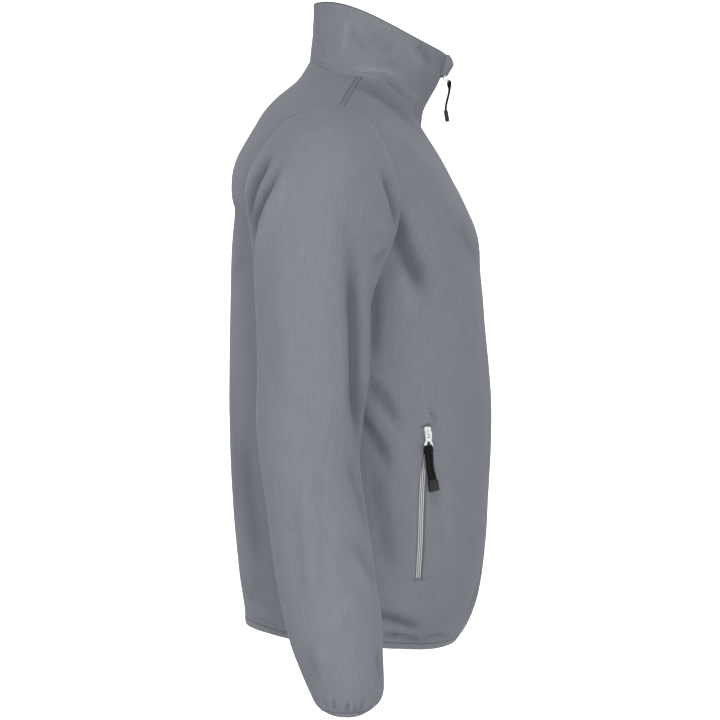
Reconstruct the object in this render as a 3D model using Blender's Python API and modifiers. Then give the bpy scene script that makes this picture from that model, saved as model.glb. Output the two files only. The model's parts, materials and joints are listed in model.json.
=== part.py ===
"""A fleece zip jacket, worn and filled out with nobody in it.

The garment faces -Y, up is +Z and the wearer's right is -X. The origin is the middle of the neck
opening at the height where the shoulders meet the neck. Tables and sizes are in millimetres and
become metres when a mesh is made. The torso is lofted through level rings, the sleeves and the
collar through rings that start on the torso's own edges, so that all pieces share their seams.
"""

import math
from collections import namedtuple

import bmesh
import bpy
import numpy as np
from mathutils import Matrix, Vector
from mathutils.bvhtree import BVHTree

MM = 0.001

# Cloth and seams
WALL = 2.5
COLLAR_WALL = 4.0
GUARD_WALL = 1.8
SEAM_GAP = 0.3
FRONT_SLOT = 6.4
MOST_MITRE = 1.5
NECK_MITRE = 1.3

# How many faces each stretch of a panel has
BODY_STEPS = 12
FRONT_ARM_STEPS = 12
BACK_ARM_STEPS = 14
SHOULDER_STEPS = 4
FRONT_COLUMNS = 9
BACK_COLUMNS = 8
RING_SAMPLES = 160

# Bindings: how far they run along the cloth, and how far they stand off its two sides
BINDING_WIDTH = 8.0
CUFF_BINDING_WIDTH = 12.0
CUFF_TURN_IN = 0.15
BINDING_PROUD = 0.6
BINDING_ROUND = 1.6

# Zips: tape, the raised chain in its middle, and how deep both lie under the cloth's face. The
# front zip starts above the binding's foot and stops short by a part of the collar's last face.
TAPE_THICKNESS = 1.0
TAPE_CLEARANCE = 0.5
CHAIN_HALF = 2.6
CHAIN_DEPTH = 0.8
FRONT_TAPE_HALF = 11.0
FRONT_ZIP_RISE = 1.5
FRONT_ZIP_SHORT = 0.12
POCKET_SLOT = 7.6
POCKET_CHAIN_HALF = 3.3
POCKET_TAPE_HALF = 8.5
POCKET_STEPS = 14
POCKET_END = 0.005
POCKET_REACH = 6.0
POCKET_SPAN = 0.05
CUTTER_REACH = 12.0
OUTSIDE = 400.0

PocketRow = namedtuple("PocketRow", "y z")
# The line of a pocket's slit on the front from its top down, seen from the side
POCKET_ROWS = (
    PocketRow(-76.0, -411.5),
    PocketRow(-73.4, -432.0),
    PocketRow(-70.9, -452.0),
    PocketRow(-69.2, -474.0),
    PocketRow(-68.3, -506.0),
    PocketRow(-67.6, -540.0),
    PocketRow(-66.4, -562.0),
    PocketRow(-65.2, -582.5),
)

# Sliders and pulls. A slider's place is a part of its slit, or a point and a normal on the collar.
SLIDER_WIDTH = 8.6
SLIDER_LENGTH = 11.5
SLIDER_LIFT = 0.3
SLIDER_EDGE = 0.7
POCKET_SLIDER_PART = 0.052
POCKET_SLIDER_HEIGHT = 2.4
NECK_SLIDER_PLACE = (0.0, -97.3, 2.0)
NECK_SLIDER_NORMAL = (0.0, -0.9, -0.436)
NECK_SLIDER_HEIGHT = 3.6
NECK_BAIL_RISE = 2.8
BAIL_WIDTH = 2.0
BAIL_INNER = 1.3
BAIL_OUTER = 2.4
BAIL_SUNK = 0.8
TAB_THICKNESS = 1.4
TAB_SLOT = 3.2
TAB_SLOT_DEPTH = 3.4
TAB_CORNER = 0.8
TAB_FOOT_CORNER = 1.2
TAB_RIM = 1.1
TAB_HOLE_PART = 0.2
TAB_SHOULDER = 0.3
TAB_WAIST = 0.6
CORD_GAP = 0.3
BLOCK_EDGE = 0.9

BodyRow = namedtuple(
    "BodyRow",
    "front_y front_z side_x side_y side_z back_y back_z front_square back_square",
)
# Level rings from the hem binding up to the underarm, the last row.
BODY_ROWS = (
    BodyRow(-112.0, -669.5, 171.0, 9.0, -655.5, 137.5, -636.0, 2.3, 2.5),
    BodyRow(-120.0, -662.0, 174.5, 9.5, -649.0, 137.5, -631.5, 2.3, 2.5),
    BodyRow(-127.5, -652.0, 178.0, 10.0, -641.0, 138.0, -624.5, 2.3, 2.5),
    BodyRow(-134.5, -637.0, 181.5, 10.5, -628.0, 140.0, -614.0, 2.3, 2.5),
    BodyRow(-141.0, -616.5, 185.0, 11.0, -609.0, 142.8, -597.0, 2.3, 2.5),
    BodyRow(-146.5, -585.5, 188.5, 12.0, -581.0, 146.0, -572.0, 2.3, 2.5),
    BodyRow(-150.5, -547.0, 191.0, 13.0, -545.0, 149.5, -540.0, 2.3, 2.5),
    BodyRow(-153.5, -498.0, 192.0, 14.0, -498.0, 153.0, -492.0, 2.3, 2.5),
    BodyRow(-156.5, -446.0, 192.0, 15.0, -446.0, 155.0, -440.0, 2.3, 2.5),
    BodyRow(-157.0, -394.0, 193.0, 16.0, -394.0, 156.0, -388.0, 2.3, 2.5),
    BodyRow(-154.0, -345.0, 194.0, 17.5, -345.0, 155.5, -338.0, 2.3, 2.5),
    BodyRow(-149.5, -296.0, 195.5, 19.0, -294.0, 154.5, -285.0, 2.3, 2.6),
    BodyRow(-147.0, -262.0, 196.0, 20.0, -255.0, 153.5, -243.0, 2.2, 2.6),
)

ArmRow = namedtuple("ArmRow", "edge_x edge_y edge_z middle_y middle_z square")
# The armhole from just above the underarm to the shoulder point, with the middle line beside it.
FRONT_ARM_ROWS = (
    ArmRow(191.0, -14.0, -230.0, -144.6, -243.0, 2.2),
    ArmRow(186.0, -35.0, -198.0, -143.5, -222.0, 2.1),
    ArmRow(184.0, -41.5, -180.0, -143.0, -208.0, 2.05),
    ArmRow(183.0, -45.0, -160.0, -141.0, -193.0, 2.0),
    ArmRow(184.0, -43.0, -137.0, -136.0, -176.0, 1.9),
    ArmRow(187.0, -35.0, -112.0, -127.5, -157.0, 1.8),
    ArmRow(191.0, -24.0, -89.0, -118.5, -138.0, 1.7),
    ArmRow(198.0, -6.0, -67.0, -109.5, -121.0, 1.6),
    ArmRow(205.0, 20.0, -57.0, -103.0, -107.0, 1.5),
)
BACK_ARM_ROWS = (
    ArmRow(189.0, 66.0, -242.0, 153.0, -222.0, 2.6),
    ArmRow(181.0, 104.0, -212.0, 152.5, -192.0, 2.8),
    ArmRow(174.5, 124.0, -184.0, 152.0, -164.0, 3.0),
    ArmRow(172.0, 129.2, -165.5, 151.5, -145.0, 3.2),
    ArmRow(172.0, 130.3, -149.5, 151.5, -129.0, 3.3),
    ArmRow(174.0, 128.0, -134.0, 150.0, -114.5, 3.2),
    ArmRow(178.0, 121.0, -116.5, 145.5, -99.5, 3.0),
    ArmRow(182.0, 111.0, -101.0, 138.5, -85.5, 2.7),
    ArmRow(187.0, 99.5, -87.0, 131.0, -72.0, 2.5),
    ArmRow(192.0, 86.0, -74.0, 124.5, -60.5, 2.3),
    ArmRow(198.0, 69.0, -65.0, 118.0, -48.0, 2.1),
    ArmRow(203.0, 46.0, -59.0, 110.5, -37.5, 2.0),
    ArmRow(205.0, 20.0, -57.0, 103.0, -29.0, 2.0),
)

ShoulderRow = namedtuple(
    "ShoulderRow",
    "seam_x seam_y seam_z front_y front_z front_square back_y back_z back_square",
)
# The shoulder seam from just inside the shoulder point to the neck, the last row.
SHOULDER_ROWS = (
    ShoulderRow(162.0, 14.5, -41.0, -93.5, -91.0, 1.6, 90.5, -18.0, 2.0),
    ShoulderRow(118.0, 8.0, -24.5, -83.0, -75.0, 1.8, 75.0, -4.0, 2.0),
    ShoulderRow(75.0, 1.0, -8.0, -73.0, -60.0, 2.0, 60.5, 18.5, 2.0),
)

CollarRow = namedtuple("CollarRow", "front_y front_z side_x side_y side_z back_y back_z sag")
# The stand collar above the neck seam; the last row is its folded top edge. sag lowers its front
# quarters and raises its back ones.
COLLAR_ROWS = (
    CollarRow(-76.0, -40.0, 71.0, -3.0, 8.0, 59.0, 33.0, 0.0),
    CollarRow(-84.5, -23.0, 67.0, -9.0, 24.0, 57.0, 50.0, 2.0),
    CollarRow(-92.5, -9.0, 64.0, -15.0, 37.5, 55.5, 64.0, 5.0),
    CollarRow(-99.0, 6.0, 61.5, -20.0, 50.0, 54.5, 77.0, 9.0),
    CollarRow(-104.5, 27.0, 60.0, -25.0, 60.5, 55.0, 88.0, 13.0),
)

SleeveRow = namedtuple(
    "SleeveRow",
    "outer_x outer_y outer_z inner_x inner_y inner_z front_x front_y back_x back_y",
)
# Rings down the sleeve; the armhole itself comes before the first.
SLEEVE_ROWS = (
    SleeveRow(232.0, 24.0, -62.5, 203.0, 22.0, -262.0, 203.0, -45.5, 198.0, 129.5),
    SleeveRow(257.0, 29.0, -77.0, 206.0, 27.0, -268.0, 216.0, -43.5, 215.0, 127.0),
    SleeveRow(279.0, 35.0, -101.0, 207.0, 33.0, -276.0, 228.0, -37.0, 229.0, 123.0),
    SleeveRow(296.0, 41.0, -136.0, 206.5, 39.0, -287.0, 239.0, -29.5, 241.0, 119.0),
    SleeveRow(307.5, 45.0, -181.0, 206.0, 45.0, -300.0, 247.0, -19.5, 249.0, 116.5),
    SleeveRow(314.0, 49.0, -232.0, 205.0, 50.0, -317.0, 254.0, -12.0, 255.0, 114.5),
    SleeveRow(317.0, 51.0, -287.0, 204.0, 51.0, -338.0, 258.0, -11.5, 258.0, 112.5),
    SleeveRow(317.0, 50.5, -343.0, 203.0, 50.5, -366.0, 259.0, -10.5, 259.0, 111.5),
    SleeveRow(315.5, 54.0, -399.0, 203.0, 54.0, -406.0, 259.0, -4.0, 259.0, 113.0),
    SleeveRow(314.5, 54.0, -450.0, 205.0, 54.0, -450.0, 260.0, -0.5, 260.0, 108.5),
    SleeveRow(314.0, 47.5, -500.0, 210.0, 47.5, -500.0, 262.0, -6.5, 262.0, 101.5),
    SleeveRow(315.0, 41.5, -545.0, 215.0, 41.5, -545.0, 265.0, -12.8, 265.0, 95.8),
    SleeveRow(316.5, 35.5, -585.0, 221.0, 35.5, -585.0, 268.5, -18.0, 268.5, 88.8),
    SleeveRow(318.0, 29.0, -620.0, 227.0, 29.0, -620.0, 272.5, -23.8, 272.5, 81.5),
    SleeveRow(318.0, 24.5, -650.0, 232.0, 24.5, -650.0, 275.0, -24.8, 275.0, 73.5),
    SleeveRow(317.0, 19.5, -672.0, 236.0, 19.5, -672.0, 276.5, -25.0, 276.5, 63.8),
    SleeveRow(314.5, 17.0, -688.0, 239.5, 17.0, -688.0, 277.0, -23.9, 277.0, 57.5),
    SleeveRow(311.5, 16.5, -698.5, 242.0, 16.5, -698.5, 276.8, -20.8, 276.8, 53.5),
    SleeveRow(309.0, 16.0, -704.5, 243.5, 16.0, -704.5, 276.5, -17.5, 276.5, 50.0),
    SleeveRow(306.5, 16.0, -708.5, 245.5, 16.0, -708.5, 276.0, -15.5, 276.0, 47.5),
)
# How strongly the armhole's own outline still shows in the first rings of a sleeve.
ARMHOLE_FADE = (1.0, 0.72, 0.46, 0.24, 0.1)
NECK_FADE = (1.0, 0.55, 0.25, 0.08)

Fold = namedtuple("Fold", "piece start end width depth")
# The largest folds, as soft troughs (depth above 0) and ridges (below 0) between two points.
FOLDS = (
    Fold("sleeve_right", (-290, 12, -225), (-292, 9, -405), 10.0, 6.5),
    Fold("sleeve_right", (-291, 4, -380), (-285, 4, -428), 9.0, -3.5),
    Fold("sleeve_right", (-238, 92, -118), (-205, 122, -188), 8.0, 6.0),
    Fold("sleeve_right", (-250, 88, -140), (-232, 112, -215), 8.0, 5.5),
    Fold("sleeve_right", (-226, -36, -150), (-228, -36, -190), 6.0, 3.0),
    Fold("sleeve_left", (290, 14, -245), (293, 8, -420), 10.0, 5.5),
    Fold("sleeve_left", (236, 94, -114), (206, 121, -180), 8.0, 5.5),
    Fold("sleeve_left", (252, 86, -150), (236, 110, -222), 9.0, 5.0),
    Fold("sleeve_left", (226, -36, -156), (229, -34, -196), 6.0, 3.0),
    Fold("front_right", (-188, -30, -195), (-172, -72, -265), 11.0, 5.0),
    Fold("front_right", (-190, -12, -375), (-180, -40, -405), 11.0, 3.5),
    Fold("front_right", (-190, -6, -400), (-181, -38, -462), 11.0, 4.5),
    Fold("front_left", (188, -28, -200), (170, -74, -258), 11.0, 4.5),
    Fold("front_left", (190, -8, -385), (182, -40, -450), 11.0, 4.0),
    Fold("front_right", (-180, -30, -628), (-150, -90, -645), 9.0, 3.5),
    Fold("front_left", (180, -26, -626), (146, -94, -640), 9.0, 3.0),
    Fold("back", (-150, 122, -146), (-20, 152, -168), 9.0, 3.5),
    Fold("back", (146, 122, -142), (30, 152, -166), 9.0, 3.0),
    Fold("collar", (-68, -20, 22), (-52, -66, -6), 8.0, -3.0),
    Fold("collar", (-62, -44, -14), (-52, -60, -22), 7.0, 3.0),
    Fold("collar", (68, -22, 20), (50, -68, -8), 8.0, -2.6),
)

# A fold runs past its two points by a part of its length, and fades over a part of it.
FOLD_OVERRUN = 0.35
FOLD_TAPER = 0.5
SEAM_FACES = 2

Gather = namedtuple("Gather", "piece waves depth reach")
# Small waves where elastic draws the cloth in, fading out over `reach` above the binding.
GATHERS = (
    Gather("sleeve_right", 6, 0.9, 26.0),
    Gather("sleeve_left", 6, 0.9, 26.0),
)

PullSize = namedtuple(
    "PullSize",
    "tab_length tab_top tab_waist tab_foot cord_radius cord_flatten lean_side lean_out"
    " block_width block_height block_thickness route",
)
CordRow = namedtuple("CordRow", "side out down")
# A pull's sizes and its doubled cord's line below the tab; the lean is of its moulded end, in
# degrees. side runs along X and out runs off the cloth.
POCKET_PULL = PullSize(
    16.5, 8.0, 6.6, 11.0, 1.5, 3.0, 10.0, 0.0, 11.2, 11.8, 4.2,
    (
        CordRow(0.0, 0.0, 0.0),
        CordRow(0.4, 0.0, 12.0),
        CordRow(1.4, 0.0, 23.0),
        CordRow(3.4, 0.0, 31.0),
        CordRow(4.8, 0.0, 36.5),
    ),
)
NECK_PULL = PullSize(
    9.0, 6.0, 5.2, 7.6, 0.9, 3.6, 0.0, 10.0, 10.0, 12.6, 3.8,
    (
        CordRow(0.0, 1.2, 0.0),
        CordRow(0.0, 2.2, 6.0),
        CordRow(0.0, 1.0, 14.0),
        CordRow(0.0, -1.0, 22.0),
        CordRow(0.0, -1.6, 27.0),
    ),
)
CORD_POINTS = 12

GuardRow = namedtuple("GuardRow", "foot_z peak_z peak_y")
# The guard over the zip's top: where its feet stand on the collar and how far its middle bulges.
GUARD_ROWS = (
    GuardRow(1.5, 3.5, -106.0),
    GuardRow(6.5, 10.0, -111.2),
    GuardRow(13.0, 16.0, -112.6),
    GuardRow(20.0, 22.5, -110.6),
    GuardRow(26.3, 27.8, -107.2),
)
GUARD_HALF = 12.0
GUARD_COLUMNS = 8
GUARD_CLEARANCE = 0.5

FLEECE = (0.215, 0.226, 0.258)
BINDING = (0.165, 0.17, 0.19)
SILVER = (0.72, 0.73, 0.75)
BLACK = (0.02, 0.02, 0.022)
GRAPHITE = (0.05, 0.05, 0.05)
SHARP_ANGLE = 35.0


def empty_scene():
    """Removes whatever the scene holds at the start."""
    for old in list(bpy.data.objects):
        bpy.data.objects.remove(old)


def plain_material(name, colour, roughness, metallic=0.0):
    """Makes a Principled material of one colour."""
    material = bpy.data.materials.new(name)
    material.use_nodes = True
    shader = material.node_tree.nodes["Principled BSDF"]
    shader.inputs["Base Color"].default_value = (*colour, 1.0)
    shader.inputs["Roughness"].default_value = roughness
    shader.inputs["Metallic"].default_value = metallic
    return material


def add_to(collection, name, mesh, material):
    """Links a mesh object of this name and finish, shaded smooth but for its sharp edges."""
    piece = bpy.data.objects.new(name, mesh)
    mesh.materials.append(material)
    mesh.shade_smooth()
    mesh.set_sharp_from_angle(angle=math.radians(SHARP_ANGLE))
    collection.objects.link(piece)
    return piece


# --- curves and rings -------------------------------------------------------------------------


def through(rows, places):
    """A smooth curve through the rows of a table, read at places counted in rows."""
    rows = np.asarray(rows, float)
    last = len(rows) - 1
    places = np.asarray(places, float)
    first = np.clip(np.floor(places).astype(int), 0, last - 1)
    part = (places - first)[:, None]
    padded = np.vstack([2 * rows[0] - rows[1], rows, 2 * rows[-1] - rows[-2]])
    before, start, end, after = (padded[first + step] for step in range(4))
    return 0.5 * (
        2 * start
        + (end - before) * part
        + (2 * before - 5 * start + 4 * end - after) * part**2
        + (3 * start - before - 3 * end + after) * part**3
    )


def ring_line(sign, middle, edge, axis_y, square, start_x, columns):
    """Points from the middle line round to a panel's edge, on one level ring of the torso.

    The ring is a superellipse about (0, axis_y), as wide as it must be to pass through the edge.
    """
    depth = abs(axis_y - middle[0])
    reach = min(abs(axis_y - edge[1]) / depth, 0.999)
    width = edge[0] / (1 - reach**square) ** (1 / square)
    from_angle = math.asin((start_x / width) ** (square / 2))
    to_angle = math.asin(min(1.0, (edge[0] / width) ** (square / 2)))
    angle = np.linspace(from_angle, to_angle, RING_SAMPLES)
    x = width * np.sin(angle) ** (2 / square)
    y = axis_y + sign * depth * np.clip(np.cos(angle), 0, 1) ** (2 / square)
    z = middle[1] + (edge[2] - middle[1]) * (x / edge[0]) ** 2
    line = np.stack([x, y, z], axis=1)
    line[-1] = edge
    walked = np.concatenate([[0], np.cumsum(np.linalg.norm(np.diff(line, axis=0), axis=1))])
    wanted = np.linspace(0, walked[-1], columns + 1)
    return np.stack([np.interp(wanted, walked, line[:, axis]) for axis in range(3)], axis=1)


def panel_grid(sign, arm_rows, arm_steps, columns, start_x):
    """The outer points of half a front (sign -1) or half the back (sign +1), hem first.

    Returns points[row][column] for +X, from the middle line out to the side seam, the armhole
    and the shoulder seam.
    """
    front = sign < 0
    body_middle = [
        (r.front_y, r.front_z, r.front_square) if front else (r.back_y, r.back_z, r.back_square)
        for r in BODY_ROWS
    ]
    arm_middle = [(r.middle_y, r.middle_z, r.square) for r in arm_rows]
    top_middle = [
        (r.front_y, r.front_z, r.front_square) if front else (r.back_y, r.back_z, r.back_square)
        for r in SHOULDER_ROWS
    ]
    side = [(r.side_x, r.side_y, r.side_z) for r in BODY_ROWS]
    arm = side[-1:] + [(r.edge_x, r.edge_y, r.edge_z) for r in arm_rows]
    shoulder = arm[-1:] + [(r.seam_x, r.seam_y, r.seam_z) for r in SHOULDER_ROWS]
    underarm = len(side) - 1
    point = underarm + len(arm_rows)
    neck = point + len(SHOULDER_ROWS)
    places = np.concatenate(
        [
            np.linspace(0, underarm, BODY_STEPS + 1),
            np.linspace(underarm, point, arm_steps + 1)[1:],
            np.linspace(point, neck, SHOULDER_STEPS + 1)[1:],
        ]
    )
    middles = through(body_middle + arm_middle + top_middle, places)
    edges = np.vstack(
        [
            through(side, np.linspace(0, underarm, BODY_STEPS + 1)),
            through(arm, np.linspace(0, len(arm) - 1, arm_steps + 1))[1:],
            through(shoulder, np.linspace(0, len(shoulder) - 1, SHOULDER_STEPS + 1))[1:],
        ]
    )
    arm_axis = side[-1][1]
    rows = []
    for place, middle, edge in zip(places, middles, edges):
        axis_y = arm_axis if underarm < place < point else edge[1]
        rows.append(ring_line(sign, middle[:2], edge, axis_y, middle[2], start_x, columns))
    return np.array(rows)


def anchored_ring(outer, inner, front, back, angles):
    """A closed ring through four anchors: outer at angle 0, front at 90 degrees, then inner."""
    outer, inner, front, back = (np.asarray(anchor, float) for anchor in (outer, inner, front, back))
    mean = (outer + inner + front + back) / 4
    twist = (outer + inner - front - back) / 4
    across = (outer - inner) / 2
    along = (front - back) / 2
    angles = np.asarray(angles)[:, None]
    return mean + across * np.cos(angles) + along * np.sin(angles) + twist * np.cos(2 * angles)


def sleeve_grid(armhole):
    """Rings from the armhole's own points down to the cuff, for +X."""
    count = len(armhole)
    angles = np.concatenate(
        [
            np.linspace(0, math.pi, FRONT_ARM_STEPS + 1)[:-1],
            np.linspace(math.pi, 2 * math.pi, BACK_ARM_STEPS + 1)[:-1],
        ]
    )
    front = armhole[np.argmin(armhole[:, 1])]
    back = armhole[np.argmax(armhole[:, 1])]
    start = anchored_ring(armhole[0], armhole[FRONT_ARM_STEPS], front, back, angles)
    rings = [armhole]
    for place, row in enumerate(SLEEVE_ROWS, 1):
        level = (row.outer_z + row.inner_z) / 2
        ring = anchored_ring(
            (row.outer_x, row.outer_y, row.outer_z),
            (row.inner_x, row.inner_y, row.inner_z),
            (row.front_x, row.front_y, level),
            (row.back_x, row.back_y, level),
            angles,
        )
        fade = ARMHOLE_FADE[place] if place < len(ARMHOLE_FADE) else 0.0
        rings.append(ring + fade * (armhole - start))
    assert all(len(ring) == count for ring in rings)
    return np.array(rings)


def collar_ring(front, side, back, angles, sag=0.0):
    """An open ring for +X and -X: angle 0 is the front's middle and 180 degrees the back's."""
    y = (front[0] - back[0]) / 2, (front[0] + back[0] - 2 * side[1]) / 4, (front[0] + back[0]) / 2
    z = (front[1] - back[1]) / 2, (front[1] + back[1] - 2 * side[2]) / 4, (front[1] + back[1]) / 2
    cos, cos2 = np.cos(angles), np.cos(2 * angles)
    return np.stack(
        [
            side[0] * np.sin(angles),
            y[2] - y[1] + y[0] * cos + y[1] * cos2,
            z[2] - z[1] + z[0] * cos + z[1] * cos2 - sag * np.sin(angles) ** 2 * cos,
        ],
        axis=1,
    )


def collar_grid(neckline):
    """Rings from the neck seam's points up to the collar's top edge."""
    neck = SHOULDER_ROWS[-1]
    angles = np.arcsin(np.clip(neckline[:, 0] / neck.seam_x, -1, 1))
    behind = neckline[:, 1] > neck.seam_y
    angles = np.where(behind, np.sign(angles) * math.pi - angles, angles)
    middle_back = np.argmin(np.abs(neckline[:, 0]) + 1000 * ~behind)
    angles[middle_back] = math.pi
    start = collar_ring(
        (neck.front_y, neck.front_z),
        (neck.seam_x, neck.seam_y, neck.seam_z),
        (neck.back_y, neck.back_z),
        angles,
    )
    rings = [neckline]
    for place, row in enumerate(COLLAR_ROWS, 1):
        ring = collar_ring(
            (row.front_y, row.front_z),
            (row.side_x, row.side_y, row.side_z),
            (row.back_y, row.back_z),
            angles,
            row.sag,
        )
        slot = FRONT_SLOT / 2
        ring[0, 0] = math.copysign(slot, ring[0, 0])
        ring[-1, 0] = math.copysign(slot, ring[-1, 0])
        fade = NECK_FADE[place] if place < len(NECK_FADE) else 0.0
        rings.append(ring + fade * (neckline - start))
    for ring in rings[1:]:
        ring[0, 0] = neckline[0, 0]
        ring[-1, 0] = neckline[-1, 0]
    return np.array(rings)


# --- cloth walls ------------------------------------------------------------------------------


def mirrored(points):
    """The same points on the other side of the body."""
    return points * (-1, 1, 1)


def grid_faces(rows, columns, closed):
    """The four point numbers of each face of a grid; a closed one joins its last column to its first."""
    index = np.arange(rows * columns).reshape(rows, columns)
    if closed:
        index = np.hstack([index, index[:, :1]])
    return np.stack(
        [index[:-1, :-1], index[:-1, 1:], index[1:, 1:], index[1:, :-1]], axis=-1
    ).reshape(-1, 4)


def face_normals(points, faces):
    """Area-weighted normals of four-sided faces."""
    return np.cross(points[faces[:, 2]] - points[faces[:, 0]], points[faces[:, 3]] - points[faces[:, 1]])


def outward_faces(grid, closed):
    """The faces of a grid, turned so that they face away from the middle of their row."""
    rows, columns = grid.shape[:2]
    faces = grid_faces(rows, columns, closed)
    points = grid.reshape(-1, 3)
    normals = face_normals(points, faces)
    middles = grid.mean(axis=1, keepdims=True) if closed else np.zeros((rows, 1, 3))
    offset = (grid - middles).reshape(-1, 3)
    offset[:, 2] = 0
    facing = (normals * offset[faces].mean(axis=1)).sum()
    return faces if facing > 0 else faces[:, ::-1]


def vertex_normals(pieces):
    """Unit normals for every piece's points, shared where pieces meet at a seam.

    The panels of the torso count as one surface, so a sleeve weighs as much as they do together.
    """
    keys, surfaces = {}, {}
    for name, (grid, closed) in pieces.items():
        faces = outward_faces(grid, closed)
        points = grid.reshape(-1, 3)
        normals = face_normals(points, faces)
        own = np.zeros_like(points)
        for corner in range(4):
            np.add.at(own, faces[:, corner], normals)
        keys[name] = [tuple(key) for key in np.round(points, 2) + 0.0]
        surface = "torso" if name.startswith(("front", "back")) else name
        for key, normal in zip(keys[name], own):
            here = surfaces.setdefault(key, {})
            here[surface] = here.get(surface, 0) + normal
    sums = {
        key: sum(normal / np.linalg.norm(normal) for normal in here.values())
        for key, here in surfaces.items()
    }
    shared = {}
    for name, (grid, closed) in pieces.items():
        normals = np.array([sums[key] for key in keys[name]])
        shared[name] = (normals / np.linalg.norm(normals, axis=1, keepdims=True)).reshape(grid.shape)
    return shared


def own_normals(grid, closed):
    """Unit normals of one piece taken by itself."""
    return vertex_normals({"piece": (grid, closed)})["piece"]


def from_segment(points, start, end):
    """Each point's distance from a segment, and its place along it, which runs past 0 and 1."""
    start, end = np.asarray(start, float), np.asarray(end, float)
    run = end - start
    along = np.clip((points - start) @ run / (run @ run), -FOLD_OVERRUN, 1 + FOLD_OVERRUN)
    inside = np.clip(along, 0, 1)
    return np.linalg.norm(points - start - inside[..., None] * run, axis=-1), along


def edge_window(grid, closed):
    """0 on a piece's seams, rising to 1 a few faces in."""
    rows, columns = grid.shape[:2]
    down = np.minimum(np.arange(rows), np.arange(rows)[::-1])[:, None]
    over = np.minimum(np.arange(columns), np.arange(columns)[::-1])[None, :]
    nearest = down if closed else np.minimum(down, over)
    return np.clip(nearest * np.ones((rows, columns)) / SEAM_FACES, 0, 1)


def folded(name, grid, normals, closed):
    """Presses the piece's folds and gathers into its points."""
    push = np.zeros(grid.shape[:2])
    for fold in FOLDS:
        if fold.piece != name:
            continue
        distance, along = from_segment(grid, fold.start, fold.end)
        taper = np.clip((np.minimum(along, 1 - along) + FOLD_OVERRUN) / FOLD_TAPER, 0, 1)
        push -= fold.depth * np.exp(-((distance / fold.width) ** 2)) * taper
    push *= edge_window(grid, closed)
    for gather in GATHERS:
        if gather.piece != name:
            continue
        cuff = grid[-1].mean(axis=0)
        height = np.clip(grid.mean(axis=1)[:, 2] - cuff[2], 0, None)
        fade = np.exp(-((height / gather.reach) ** 2))[:, None]
        turn = np.linspace(0, 2 * math.pi, grid.shape[1] + 1)[None, :-1]
        push += gather.depth * fade * np.cos(gather.waves * turn)
    return grid + normals * push[..., None]


def line_directions(line, closed):
    """The way a line of points runs, at each of its points."""
    if closed:
        return np.roll(line, -1, axis=0) - np.roll(line, 1, axis=0)
    return np.gradient(line, axis=0)


def pulled_back(grid, shared, amount, closed):
    """Moves a piece's outermost points off its seams, square to the rims, to open a gap."""

    def shift(edge, neighbour, normals, ring):
        side = np.cross(line_directions(edge, ring), normals)
        side /= np.linalg.norm(side, axis=-1, keepdims=True)
        return side * np.sign(((neighbour - edge) * side).sum(axis=-1, keepdims=True)) * amount

    out = grid.copy()
    for edge, inside in ((0, 1), (-1, -2)):
        out[edge] += shift(grid[edge], grid[inside], shared[edge], closed)
        if not closed:
            out[:, edge] += shift(grid[:, edge], grid[:, inside], shared[:, edge], False)
    return out


def cloth_wall(collection, name, grid, shared, thickness, closed, material):
    """A closed wall of cloth: the grid's surface, the same surface further in, and its rims.

    thickness is one value, or one for each row of the grid.
    """
    thickness = np.broadcast_to(thickness, len(grid))[:, None, None]
    own = own_normals(grid, closed)
    mitre = 1 / np.clip((own * shared).sum(axis=-1, keepdims=True), 1 / MOST_MITRE, 1)
    outer = pulled_back(grid, shared, SEAM_GAP / 2, closed)
    inner = outer - shared * thickness * mitre
    rows, columns = grid.shape[:2]
    count = rows * columns
    faces = outward_faces(grid, closed)
    points = np.vstack([outer.reshape(-1, 3), inner.reshape(-1, 3)])
    all_faces = [tuple(face) for face in faces]
    all_faces += [tuple(face[::-1] + count) for face in faces]
    edges = {}
    for face in faces:
        for start, end in zip(face, np.roll(face, -1)):
            edges[(start, end)] = edges.get((start, end), 0) + 1
    order = grid.reshape(-1, 3) @ (0.1, 1.0, 2.0)
    for start, end in edges:
        if (end, start) in edges:
            continue
        # Both pieces at a seam split their rims the same way, so that twisted rims still fit.
        if order[start] > order[end]:
            all_faces += [(end, start, end + count), (start, start + count, end + count)]
        else:
            all_faces += [(end, start, start + count), (end, start + count, end + count)]
    mesh = bpy.data.meshes.new(name)
    mesh.from_pydata((points * MM).tolist(), [], [tuple(map(int, face)) for face in all_faces])
    mesh.update()
    return add_to(collection, name, mesh, material)


def loft(collection, name, sections, material, closed=False):
    """A solid through sections of equal point counts, capped unless it closes on itself."""
    sections = np.asarray(sections, float)
    count, points = sections.shape[:2]
    faces = []
    for place in range(count if closed else count - 1):
        following = (place + 1) % count
        for point in range(points):
            after = (point + 1) % points
            faces.append(
                (
                    place * points + point,
                    place * points + after,
                    following * points + after,
                    following * points + point,
                )
            )
    if not closed:
        faces.append(tuple(range(points))[::-1])
        faces.append(tuple(range((count - 1) * points, count * points)))
    mesh = bpy.data.meshes.new(name)
    mesh.from_pydata((sections.reshape(-1, 3) * MM).tolist(), [], faces)
    mesh.update()
    mesh.calc_loop_triangles()
    corners = np.array([[mesh.vertices[i].co[:] for i in tri.vertices] for tri in mesh.loop_triangles])
    if np.linalg.det(corners).sum() < 0:
        mesh.flip_normals()
    return add_to(collection, name, mesh, material)


# --- bindings and zips ------------------------------------------------------------------------


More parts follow.
